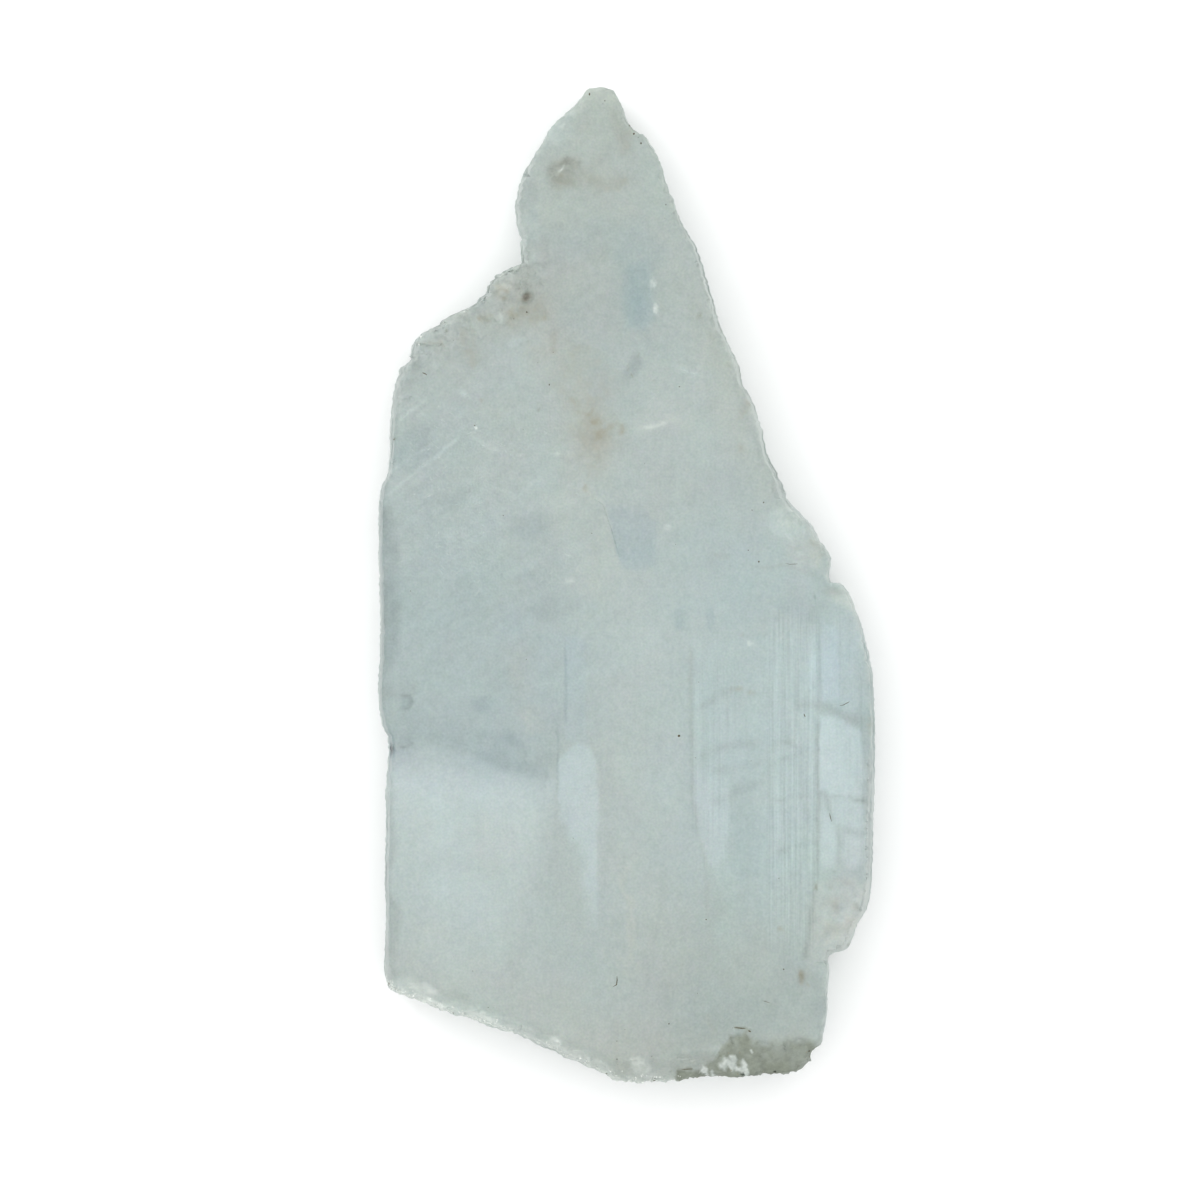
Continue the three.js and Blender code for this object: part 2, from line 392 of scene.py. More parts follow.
def relief(x, y):   # fine shape of the front face, in mm, added to the frame solid's planes
    z = 0.07 * plainNoise(x, y, 13, 17, 1) + 0.03 * plainNoise(x, y, 4, 6, 2)
    grain = 0.25 + 0.75 * smoothStep(x, 4, 16)
    z += grain * (0.01 * plainNoise(x, y, 0.45, 14, 3) + 0.016 * plainNoise(x, y, 1.9, 19, 4))
    for _, drop, reach, edge, line in cleavageSteps:
        gap, side, run, total = lineFrame(x, y, line)
        ends = smoothStep(run, 0, 2.5) * smoothStep(total - run, 0, 2.5)
        fall = smoothStep(side, -edge, edge) * np.exp(-(gap / reach) ** 2)
        z -= drop * ends * fall
    gap, side, run, total = lineFrame(x, y, plateEdge)
    low, high = side < 0, side > 0
    height = np.clip(-0.081 - 0.079 * y, 0, 0.655)   # of the plate's step in the frame solid
    z += low * smoothStep(y, -44.5, -39.4) * np.exp(-(gap / 3.6) ** 2) * 0.64 * height
    z -= high * (x > 19) * (y > -39.4) * 0.33 * height
    z -= pitDepth(x, y)
    z -= nook["depth"] * softPatch(x, y, nook["at"], nook["size"], 40)
    broken = np.exp(-(lineFrame(x, y, shoulderRim)[0] / 3.4) ** 2)
    z += broken * (0.13 * facetNoise(x, y, 2.1, 11) + 0.1 * facetNoise(x, y, 0.8, 12) - 0.1)
    z += broken * 0.035 * facetNoise(x, y, 0.42, 18)
    clay = softPolygon(x, y, clayRing, 0.35)
    z -= clay * (0.16 - 0.12 * facetNoise(x, y, 1.5, 13) - 0.04 * facetNoise(x, y, 0.6, 14))
    crushed = np.exp(-(lineFrame(x, y, obliqueRim)[0] / 1.9) ** 2)
    z += crushed * (0.12 * facetNoise(x, y, 1.1, 15) + 0.06 * facetNoise(x, y, 0.55, 16))
    chipped = softPatch(x, y, chip["at"], chip["size"], chip["turn"])
    waves = np.sin(np.hypot(x - chip["strike"][0], y - chip["strike"][1]) * 2 * math.pi / chip["ripple"])
    z += chipped * (0.02 * waves + 0.06 * facetNoise(x, y, 1.7, 17) - 0.12)
    return z


def stepRows(ring):   # close pairs of rows along each cleavage step, so that it stays crisp
    rows = []
    for line in [line for _, _, _, edge, line in cleavageSteps if edge <= 0.06]:
        path = evenSteps(line, lambda size: max(int(size / slab["columnStep"]), 2))[0]
        along = pathHeading(path)
        across = np.stack([along[:, 1], -along[:, 0]], 1)
        for way in (-1, 1):
            row = path + way * slab["rowGap"] * across
            rows.append(row[insidePolygon(row[:, 0], row[:, 1], ring)])
    return [row for row in rows if len(row) > 1]


def gridPoints(low, high, step, rng):   # a loose hexagonal pattern
    rows, columns = np.arange(low[1], high[1], step[1] * 0.866), np.arange(low[0], high[0], step[0])
    grid = np.array([(x + (k % 2) * step[0] / 2, y) for k, y in enumerate(rows) for x in columns])
    return grid + rng.uniform(-0.1, 0.1, grid.shape) * step


def gapsTo(points, others):   # how far each point is from the nearest of the others
    near = KDTree(len(others))
    for k, (x, y) in enumerate(others):
        near.insert((x, y, 0), k)
    near.balance()
    return np.array([near.find((x, y, 0))[2] for x, y in points])


def clearOf(points, others, gap):
    return points[gapsTo(points, others) > gap]


def innerPoints(ring, step, areas, seed):   # points that fill a ring, with its finer areas
    rng = np.random.default_rng(seed)
    plain = gridPoints(ring.min(0), ring.max(0), (step, step), rng)
    fine = []
    for _, (left, right), (low, high), fineStep in areas:
        inArea = (plain[:, 0] > left) & (plain[:, 0] < right) & (plain[:, 1] > low) & (plain[:, 1] < high)
        plain = plain[~inArea]
        fine.append(gridPoints((left, low), (right, high), fineStep, rng))
    points = np.vstack([plain, *fine])
    points = points[insidePolygon(points[:, 0], points[:, 1], ring)]
    return clearOf(points, ring, 0.45 * step)


def triangulate(ring, rows, loose):   # fills a ring; returns its points, the ring's first, and triangles
    points = [Vector(p) for p in ring]
    edges = [(i, (i + 1) % len(ring)) for i in range(len(ring))]
    for row in rows:
        edges += [(len(points) + i, len(points) + i + 1) for i in range(len(row) - 1)]
        points += [Vector(p) for p in row]
    points += [Vector(p) for p in loose]
    made = delaunay_2d_cdt(points, edges, [list(range(len(ring)))], 1, 1e-5)
    newPoints, faces, origins = np.array([tuple(p) for p in made[0]]), made[2], made[3]
    place = {old: new for new, olds in enumerate(origins) for old in olds}
    order = [place[i] for i in range(len(ring))]
    taken = set(order)
    order += [i for i in range(len(newPoints)) if i not in taken]
    back = {old: new for new, old in enumerate(order)}
    return newPoints[order], [[back[i] for i in face] for face in faces]


def faceHeights(points):   # the frame solid's front under each point, kept sharp beside the raised plate
    x, y = points.T
    gap, side, run, total = lineFrame(x, y, plateEdge)
    bevel = lineFrame(x, y, obliqueRim)[0]
    heights = np.zeros(len(points))
    for k, (px, py) in enumerate(points):
        besidePlate = gap[k] < 0.4 and 0 < run[k] < total   # here a mean would round off the step
        reach = 0.2 + 0.6 * float(smoothStep(bevel[k], 1.2, 1.8)) * float(smoothStep(-bevel[k], -4.5, -3))
        reach = 0.42 if besidePlate else reach
        found = [frontHeight(px + dx, py + dy) for dx, dy in
                 ((0, 0), (reach, 0), (-reach, 0), (0, reach), (0, -reach))]
        found = [h for h in found if h is not None and h > (found[0] or 0) - (0.9 if besidePlate else 0.6)]
        if besidePlate:
            heights[k] = max(found) if side[k] > 0 else min(found)
        else:
            heights[k] = sum(found) / len(found)
        past = neckLedge["x"] - px
        if py > neckLedge["low"] and -0.3 < past < neckLedge["reach"]:
            crest = frontHeight(neckLedge["x"] + 0.35, py)
            slope = neckLedge["slope"] - 0.5 * smoothStep(py, 33, 36)
            heights[k] = max(heights[k], crest - slope * past ** neckLedge["bend"]) if past > 0 else crest
    return heights


def backRelief(x, y):   # the back is flat where it rests, with shallow hollows between
    hollow = 0.22 * plainNoise(x, y, 7, 19, 61) + 0.07 * plainNoise(x, y, 1.7, 12, 62)
    return np.clip(hollow - 0.03, 0, 0.2)


def sideLeaves(rng):   # heights of the rows round the sides, and how far the leaves stand back there
    leaves = [0.75]
    while leaves[-1] < 13.0:
        leaves.append(leaves[-1] + rng.uniform(slab["leafThin"], slab["leafThick"]))
    levels, offsets = [0.0, 0.3], [plateaus(rng, 3, 9, 0.6)] * 2
    for height, following in zip(leaves, [*leaves[1:], slab["height"]]):
        levels += [height - slab["leafGroove"], height + slab["leafGroove"]]
        standing = rng.choice([0.25, 0.5, 0.9, 1.5], p=[0.3, 0.3, 0.25, 0.15])
        offsets += [offsets[-1], 0.5 * offsets[-1] + standing * plateaus(rng, 1.5, 17, 1.0)]
        if following - height > 0.7:
            levels.append((height + following) / 2)
            offsets.append(offsets[-1])
    return [*levels, 99.0], [*offsets, offsets[-1]]   # the last row is the rim


def sideWall():   # the broken sides, as rows of points from the back's edge up to the rim
    rng = np.random.default_rng(slab["seed"])
    heights, table, inward = insetTable()
    rims = rimHeights(heights, table)
    jag, ledge, crumble, grit = (stretchValues(key) for key in ("jag", "ledge", "crumble", "grit"))
    wobble = sum(weight * plainNoise(outline[:, 0], outline[:, 1], scale, scale, 20 + k)
                 for k, (scale, weight) in enumerate([(3.2, 0.9), (1.3, 0.8), (0.6, 0.5)]))
    edge = np.stack([roundSmooth(outline[:, 0], 1), roundSmooth(outline[:, 1], 1)], 1)
    fray = (0.03 + 0.3 * jag) * rng.uniform(-1, 1, columnCount)
    edge = edge + inward * (jag * (wobble + 0.4) + fray)[:, None]
    levels, offsets = sideLeaves(rng)
    rowCount = len(levels)
    wall = np.zeros((rowCount, columnCount, 3))
    for j, level in enumerate(levels):
        z = np.minimum(level, rims - 0.05 * (rowCount - 1 - j))
        inset = np.array([np.interp(z[i], heights, table[i]) for i in range(columnCount)])
        waist = np.exp(-((z - slab["waistHeight"]) / 1.6) ** 2)
        cut = ledge * offsets[j] * (1 - 0.75 * waist) * (1 - 0.75 * smoothStep(z, 9.0, 12.0))
        rough = grit * (facetNoise(outlineRun, z, 1.1, 23) + 0.6 * plainNoise(outlineRun, z, 0.5, 0.5, 24))
        topChip = crumble * smoothStep(z, rims - 1.2, rims) * np.maximum(0, wobble - 0.2) * 0.8
        wall[j, :, :2] = edge + inward * (inset + cut + rough + topChip)[:, None]
        wall[j, :, 2] = z
    return wall, rims


def wallFaces(rowCount):
    faces = []
    for j in range(rowCount - 1):
        for i in range(columnCount):
            k = (i + 1) % columnCount
            faces.append((j * columnCount + i, j * columnCount + k, (j + 1) * columnCount + k,
                          (j + 1) * columnCount + i))
    return faces


def makeSlab():   # sides, front face and back face, as one closed skin
    wall, rims = sideWall()
    top, bottom = wall[-1, :, :2], wall[0, :, :2]
    rows = stepRows(top)
    loose = clearOf(innerPoints(top, slab["faceStep"], fineAreas, 31), np.vstack(rows), 0.11)
    face, faceTriangles = triangulate(top, rows, loose)
    backLoose = innerPoints(bottom, slab["backStep"], [], 32)
    back, backTriangles = triangulate(bottom, [], backLoose)
    print("stage: front face", len(face), "points,", len(faceTriangles), "triangles")

    ground = faceHeights(face[columnCount:]) + relief(*face[columnCount:].T)
    frontPoints = np.column_stack([face[columnCount:], np.minimum(ground, slab["topLimit"])])
    wall[..., 2] += relief(wall[..., 0], wall[..., 1]) * smoothStep(wall[..., 2], rims - 1.5, rims)
    wall[..., 2] = np.minimum(wall[..., 2], slab["topLimit"])
    backPoints = np.column_stack([back[columnCount:], backRelief(*back[columnCount:].T)])

    points = np.vstack([wall.reshape(-1, 3), frontPoints, backPoints])
    topStart = (len(wall) - 1) * columnCount   # the front face's points follow the rim's
    backStart = topStart + len(frontPoints)
    faces = wallFaces(len(wall))
    faces += [[topStart + i for i in t] for t in faceTriangles]
    faces += [[i if i < columnCount else backStart + i for i in reversed(t)] for t in backTriangles]

    mesh = newMesh("slab", points, faces)
    mesh.validate()
    mesh.update()
    mesh.shade_smooth()
    mesh.set_sharp_from_angle(angle=math.radians(32))
    return newObject("slab", mesh), wall


slabPiece, slabWall = makeSlab()
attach(slabPiece, "root")
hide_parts("selenite_slab")

# The slab's inner tones. lift is lighter (+) or darker (-), blue is bluer (+) or warmer (-) and lilac is
# pinker (+) or greener (-), all in eye-steps of about one part in a hundred.

# soft round patches: name, middle, half width and half height, turn, lift, blue
tones = [
    ("neck", (-4, 40), (11, 14), 0, -2, -5.5), ("tip", (-3, 49), (4, 3.6), 0, -1, -4),
    ("neck, deeper", (-3.5, 30), (7.5, 7), 0, -4, 0),
    ("pit's shade", (-6.3, 43.2), (1.8, 1.4), -12, -11, -7),
    ("pit's left foot", (-7.4, 42.3), (0.7, 0.9), 0, -10, -4),
    # painted shade over the lit side of the pit's bowl
    ("pit's bowl, painted shade", (-6.2, 43.5), (1, 0.45), -10, -9, -3),
    ("pit's haze", (-3.2, 43.6), (1.3, 2.4), -20, -5, -3),
    ("pit's tail", (-1.5, 42.4), (2.2, 0.9), -8, -5, -4),
    ("point's notch", (0.1, 46.9), (1, 2.1), 14, -13, -7),
    ("point's end", (-2.8, 51.3), (2.4, 1.2), 0, 9, -5),
    ("neck's left ledge", (-10.5, 41.4), (0.6, 1.9), 0, -5, 3),
    ("neck's left pale", (-10.3, 37.6), (1.2, 2.2), 0, 5, 4),
    ("neck's blue speck", (-9.9, 38.6), (0.5, 0.7), 0, -7, 5),
    ("point, pale", (-7.2, 48.2), (2.2, 1), 48, 9, 3), ("blue haze", (-3.4, 36.4), (4.4, 2), 0, -3, 6),
    ("blue haze, right", (1.4, 35), (2.4, 2.2), 0, -1, 5),
    ("blue window, deep", (1.5, 29.8), (0.9, 2.6), 0, -4, 5),
    ("shoulder", (-14.5, 27.5), (8.5, 3.4), 38, -5, -6),
    ("shoulder nook", (-10.6, 29.4), (2, 2), 0, -7, -4),
    ("shoulder, pale blue", (-12, 25.4), (3, 1.3), 12, 3, 4),
    ("warm fall", (-7, 23.5), (2.6, 7), 28, -2, -6),
    ("grey smudge", (0.7, 22.5), (0.7, 1.6), -20, -16, 4), ("ticks", (2.8, 24.2), (1.3, 1.3), 0, -3, 3),
    ("iron stain", (-3.1, 15.6), (1.9, 2.3), -20, -10, -9),
    ("stain's halo", (-4, 15.5), (3.4, 4.6), 8, -1, -6), ("pale fall", (3.4, 17), (3, 1.5), 14, 5, -3),
    ("pale flank", (7.5, 18.5), (5.5, 5.5), 0, 4, 0), ("warm flank", (11, 22), (3, 13), 22, 0, -6),
    ("left nook", (-22.6, 14.3), (2.4, 2), 0, -9, 4),
    ("blue window's haze", (0.8, 31.4), (2.6, 5), 0, -2, 3),
    # painted shade with brown dirt in the nook's hollow
    ("nook's core, painted shade and dirt", (-10.5, 30.2), (0.42, 0.34), 20, -36, -24),
    ("shoulder plate", (-13.1, 31.2), (0.9, 0.5), -10, 22, -6),
    ("edge spot's core", (-24.8, -17.2), (0.42, 0.7), 0, -56, 26),
    ("ring's inside", (-23.15, -12.2), (0.7, 0.7), 0, -8, 2),
    ("brown spot", (18.33, -40.85), (0.26, 0.6), 0, -26, -14),
    ("brown spot's halo", (18.35, -40.8), (0.9, 0.9), 0, -8, -2),
    ("foot, right", (11, -44.5), (6, 3), 0, -4, 4), ("heel's edge", (20.4, -44), (0.9, 2.6), 0, -9, 2),
    ("lobe's edge", (25.6, -24), (0.5, 8), 0, -9, -1),
    ("left edge, top", (-25.3, 5.5), (0.9, 4), 0, -10, 1),
    ("left edge, low", (-25, -31), (0.6, 9), 0, -18, 0),
    ("left corner", (-24.1, 13.6), (0.8, 1.5), 0, -6, 3),
    ("left top", (-22.1, 23.3), (0.7, 1.6), 0, -18, 2), ("left pale", (-17.5, 19.5), (4, 3), 0, 2, 0),
    ("ring", (-9.5, 10), (6.5, 2.6), 30, 3, 1), ("top dark", (-18.3, 9.2), (2.2, 1), 10, -9, 3),
    ("upper dark", (-9.4, 5.8), (1.7, 1.4), 0, -10, 4), ("upper left", (-18, 17), (6, 5), 0, -3, 0),
    ("dark patch", (-8.9, -3), (1.5, 1), 20, -11, 0), ("warm lilac", (-12.2, -1.3), (1.6, 1.6), 0, 1, -5),
    ("warm brown", (-11.2, -9.3), (1.6, 3.4), 0, 0, -7),
    ("warm light", (-10.5, -13.7), (1.5, 0.8), 0, 4, -7),
    ("blue-green spot", (-15, -12.4), (1.2, 0.8), 10, -12, 6),
    ("dark blob", (-12.8, -16.4), (1.3, 0.8), 0, -13, 7),
    ("smear", (-22.9, -10.8), (1.2, 0.8), 20, -7, -1),
    ("small ring's middle", (-23.15, -12.2), (0.35, 0.4), 0, -5, 0),
    ("edge spot", (-24.8, -17.2), (0.28, 0.6), 12, -24, 8),
    ("edge spot, upper", (-24.9, -15.6), (0.45, 0.5), 0, -9, 3),
    ("left corner, dark", (-25.3, 7.4), (0.7, 1), 30, -9, 0),
    ("left edge, dark", (-24.1, -2.2), (0.6, 0.8), 0, -7, 2),
    ("pale right", (-4, -0.6), (2.4, 1.1), -20, 4, -4), ("below it", (3.4, 0.4), (3.2, 1.6), 0, -2, 0),
    ("centre", (0, -4), (5, 5), 0, 4, 1), ("left field", (-15.5, -8), (12.5, 12), 0, -3, 9),
    ("left edge", (-25.4, -3), (1.1, 9), 0, -13, 2), ("left field, upper", (-21, 8), (6, 9), 0, 0, 3),
    ("right field", (15, -15), (12, 19), 0, 6, 8), ("right field, upper", (9, 2), (8, 5), 0, 1, 4),
    ("blue dash, left", (5.8, -3.4), (0.6, 1.4), 0, -10, 7),
    ("blue dash, right", (8.7, -3.4), (0.4, 1.2), 0, -11, 7),
    ("green shade, low", (2.2, -16.7), (1.4, 0.7), 0, -4, -1),
    ("green shade, high", (1.9, -13.2), (1, 0.6), 20, -4, -1),
    ("dark gap", (12.8, -25.5), (1.7, 5), 0, -8, 1),
    ("over the stripes", (17.6, -2.6), (2.4, 0.9), -4, -5, 3),
    ("lobe's top, beige", (22.4, -2), (1.8, 0.9), -25, 18, -10),
    ("lobe's top, dark", (21.8, -0.6), (1.2, 0.4), 0, -18, -2),
    ("lobe, high", (22.6, -8), (3, 4.5), 0, 15, 5),
    ("lobe's cloudy end", (22.5, -34.5), (3, 3.6), 0, 3, -4),
    # painted light: lightens the strip where the clay break's slope starts and turns away from the lamps
    ("clay break's edge, painted light", (6.2, -49.4), (4, 0.5), 0, 6, 0),
    ("heel's band", (19.8, -40.4), (1.2, 0.4), 0, 7, 0), ("foot's deep", (10, -44), (11, 10), 0, -9, -4),
    ("foot", (8, -52), (16, 6), 0, -3, -6), ("warm foot", (-12, -46), (16, 5.5), -22, 1, -6),
    ("pale foot", (-21.2, -41.9), (2.2, 0.9), -20, 19, -2),
    ("bluish light, high", (-19.6, -24), (1.1, 2.8), 0, 4, 1),
    ("bluish light, low", (-17.6, -33), (2.4, 2.6), 30, 5, 2),
    ("window's left shade", (-23, -34), (1.2, 6), 0, -3, 1),
    ("matte band", (1.5, -20), (4.6, 24), 0, 3, -2), ("beige seam", (0.1, -34.4), (0.5, 5), 0, 4, -8),
    ("chip", (16.9, 6.6), (3, 2), -14, 12, -3), ("chip's lower part", (18.4, 3), (2.2, 1.6), -20, 11, -7),
    ("chip's rim", (20.2, 3.4), (0.7, 1.8), 0, 2, -7),
]

# where a film of split crystal lies just under the face: name, how wide its edge is, lift, blue, lilac,
# from which Y to which Y it fades in, outline
fields = [
    ("greener foot", 5, 0, 1, -1.8, None, [(8, -27), (21.5, -27), (21.5, -48), (7, -49)]),
    ("greener neck", 4, 0, 0, -1.5, None, [(-12, 38), (8, 38), (1, 53), (-7, 53)]),
    # the window, upper and lower, and the tongue: their lift is painted reflection, the light that the
    # cleavage film under the face reflects
    ("window, upper", 0.7, 8, 2, 1.5, (-26, -19), [(-27, -17.9), (-24.4, -17.4), (-20.4, -16.7),
     (-17, -17.6), (-14.6, -18.5), (-12.2, -19.3), (-10.6, -19.9), (-7.4, -20.3), (-7.3, -27),
     (-27, -27)]),
    ("window, lower", 3.5, 17, 1.6, 0.6, (-50, -21), [(-27, -19), (-8, -21), (-9, -28), (-12, -36),
     (-14, -45), (-27, -44)]),
    ("tongue", 0.45, 18, 6, 1.5, (-39, -29), [(-7.2, -36), (-7.15, -18.2), (-6.2, -17.1), (-5.1, -16.5),
     (-3.9, -16.8), (-3.2, -18.2), (-3.05, -22), (-3, -36)]),
    ("by the crack", 0.5, 3, 5, 1, None, [(-6.4, -5.2), (-4.6, -5.4), (-4.2, -9), (-4.4, -13),
     (-4, -16.4), (-6.4, -16.4)]),
    ("left of the crack", 0.6, 3, 1, 0, None, [(-8.9, -5), (-6.4, -4.8), (-6.4, -7.6), (-8.7, -7.2)]),
    ("blue window, high", 1.2, -5, 12, -0.5, (37.5, 31), [(0, 34), (2.2, 34.3), (2.7, 31.5), (3.1, 27.8),
     (2, 26.8), (0, 27.2), (-0.4, 29)]),
    ("blue window, low", 0.9, -7, 9.5, 1, (10.5, 6.5), [(-2.2, 8.6), (-1.65, 5.4), (-1.1, 3), (-0.5, 1.8),
     (0.8, 1.6), (3, 2.2), (3.1, 6.6), (1.6, 8.4)]),
    ("right of the seam", 0.3, 3, 1, 0, (-38, -27), [(6.7, -5.9), (6.75, -16.6), (6.9, -21.9),
     (7.4, -25.3), (8.1, -28), (9, -29.8), (12, -38), (14.5, -38), (14.8, -5.2)]),
    ("wedge", 0.5, 7, 1, 2, (-18, -23), [(7, -19), (6.95, -22), (7.45, -25.3), (8.1, -28), (9, -29.6),
     (10.3, -28.6), (10.7, -24), (10.4, -19)]),
    ("right strip", 0.25, 3, 1, 0, (-40, -35), [(14.75, -3.6), (20, -3.8), (20, -31), (18.7, -39),
     (14.6, -39)]),
    ("lobe, upper plate", 0.4, 9, 3, 2, None, [(20.4, -3.8), (22.2, -4.4), (22.2, -12), (20.4, -12.2)]),
    ("lobe, bright plate", 0.4, 25, 2, 1.5, None, [(20.15, -13.7), (22, -13.8), (24.6, -15.2), (25, -22),
     (23, -22.2), (20.15, -21.3)]),
    ("middle plate", 0.4, 18, 2, 1, None, [(21.3, -22), (24.8, -22.9), (24.7, -25.6), (21.7, -24.9)]),
    ("lower plate, inner", 0.8, 20, 2, 2.4, (-30.4, -28.4), [(20.2, -22.4), (21.2, -24.4), (21.9, -25.5),
     (21.8, -29.5), (20.2, -30.2)]),
    ("lower plate, outer", 0.9, 19, 0, 1.5, (-30, -28), [(22.6, -26), (24.8, -26.4), (24.5, -29.3),
     (22.7, -29.6)]),
    ("cloudy end", 0.5, 6, -3.5, 1.4, None, [(19.5, -31.3), (22.4, -30.4), (25.4, -31), (25.2, -34),
     (23.8, -38.2), (21.3, -39.2), (18.7, -39.4), (19.4, -35)]),
    ("chip", 0.5, 8, 1, 0, None, [(14.4, 6.3), (14.9, 7.5), (16.5, 8.2), (18, 8), (18.9, 7), (18.7, 5.8),
     (17.4, 5.1), (15.6, 5.1)]),
    ("curved leaf", 0.35, 2, -3, 0, None, [(-0.5, 1.6), (-1.1, 3), (-1.65, 5.4), (-2.3, 8.6),
     (-4.4, 10.3), (-9, 9.5), (-7, 3), (-4, 0)]),
]

# the line at which the tongue melts into what lies left of it
tongueMelt = [(-4.4, -37.0), (-4.9, -33.0), (-5.9, -27.5), (-7.0, -23.5), (-8.2, -20.0)]

# long straight stripes along the crystal, where thin leaves end: X, width, lift, top, bottom
stripes = [
    (15.75, 0.3, 9, -3.8, -32), (16.5, 0.08, -7, -6, -31), (16.72, 0.08, 8, -8, -33),
    (16.95, 0.08, -7, -4, -30), (17.3, 0.14, 8, -4, -30), (17.62, 0.07, -6, -9, -33),
    (17.85, 0.1, 5, -14, -29), (18.15, 0.1, -6, -6, -36), (18.5, 0.08, 5, -12, -37),
    (18.75, 0.08, -6, -15, -36), (19.3, 0.24, 11, -4.4, -31), (20.1, 0.13, -9, -3.4, -14),
    (15.2, 0.1, -4, -9, -36), (22, 0.1, -3, -14, -30), (22.3, 0.1, -4, -4, -12),
    (23.35, 0.08, -9, -14, -23), (23.9, 0.06, -3, -15, -22), (20.8, 0.06, -4, -13, -17),
    (24.2, 0.06, -4, -16, -21), (22.3, 0.35, -4, -25, -30), (6.8, 0.2, -5, -5.4, -24),
    (7.5, 0.24, 6, -10, -24), (8, 0.06, -5, -8, -22), (8.7, 0.14, 6, -7, -29), (9.3, 0.12, 9, -11, -16.5),
    (9.65, 0.07, -6, -12, -28), (10.1, 0.14, 9, -11, -17), (10.5, 0.07, -6, -12, -16),
    (10.9, 0.12, 8, -11, -16), (11.6, 0.1, 3, -9, -21), (12.6, 0.1, -3, -6, -20), (13.6, 0.1, 3, -8, -22),
    (-7.9, 0.4, -3, -8, -20), (8.5, 0.08, -5, -21, -29), (9, 0.08, -4, -22, -28),
    (9.9, 0.08, -4, -22, -28),
]
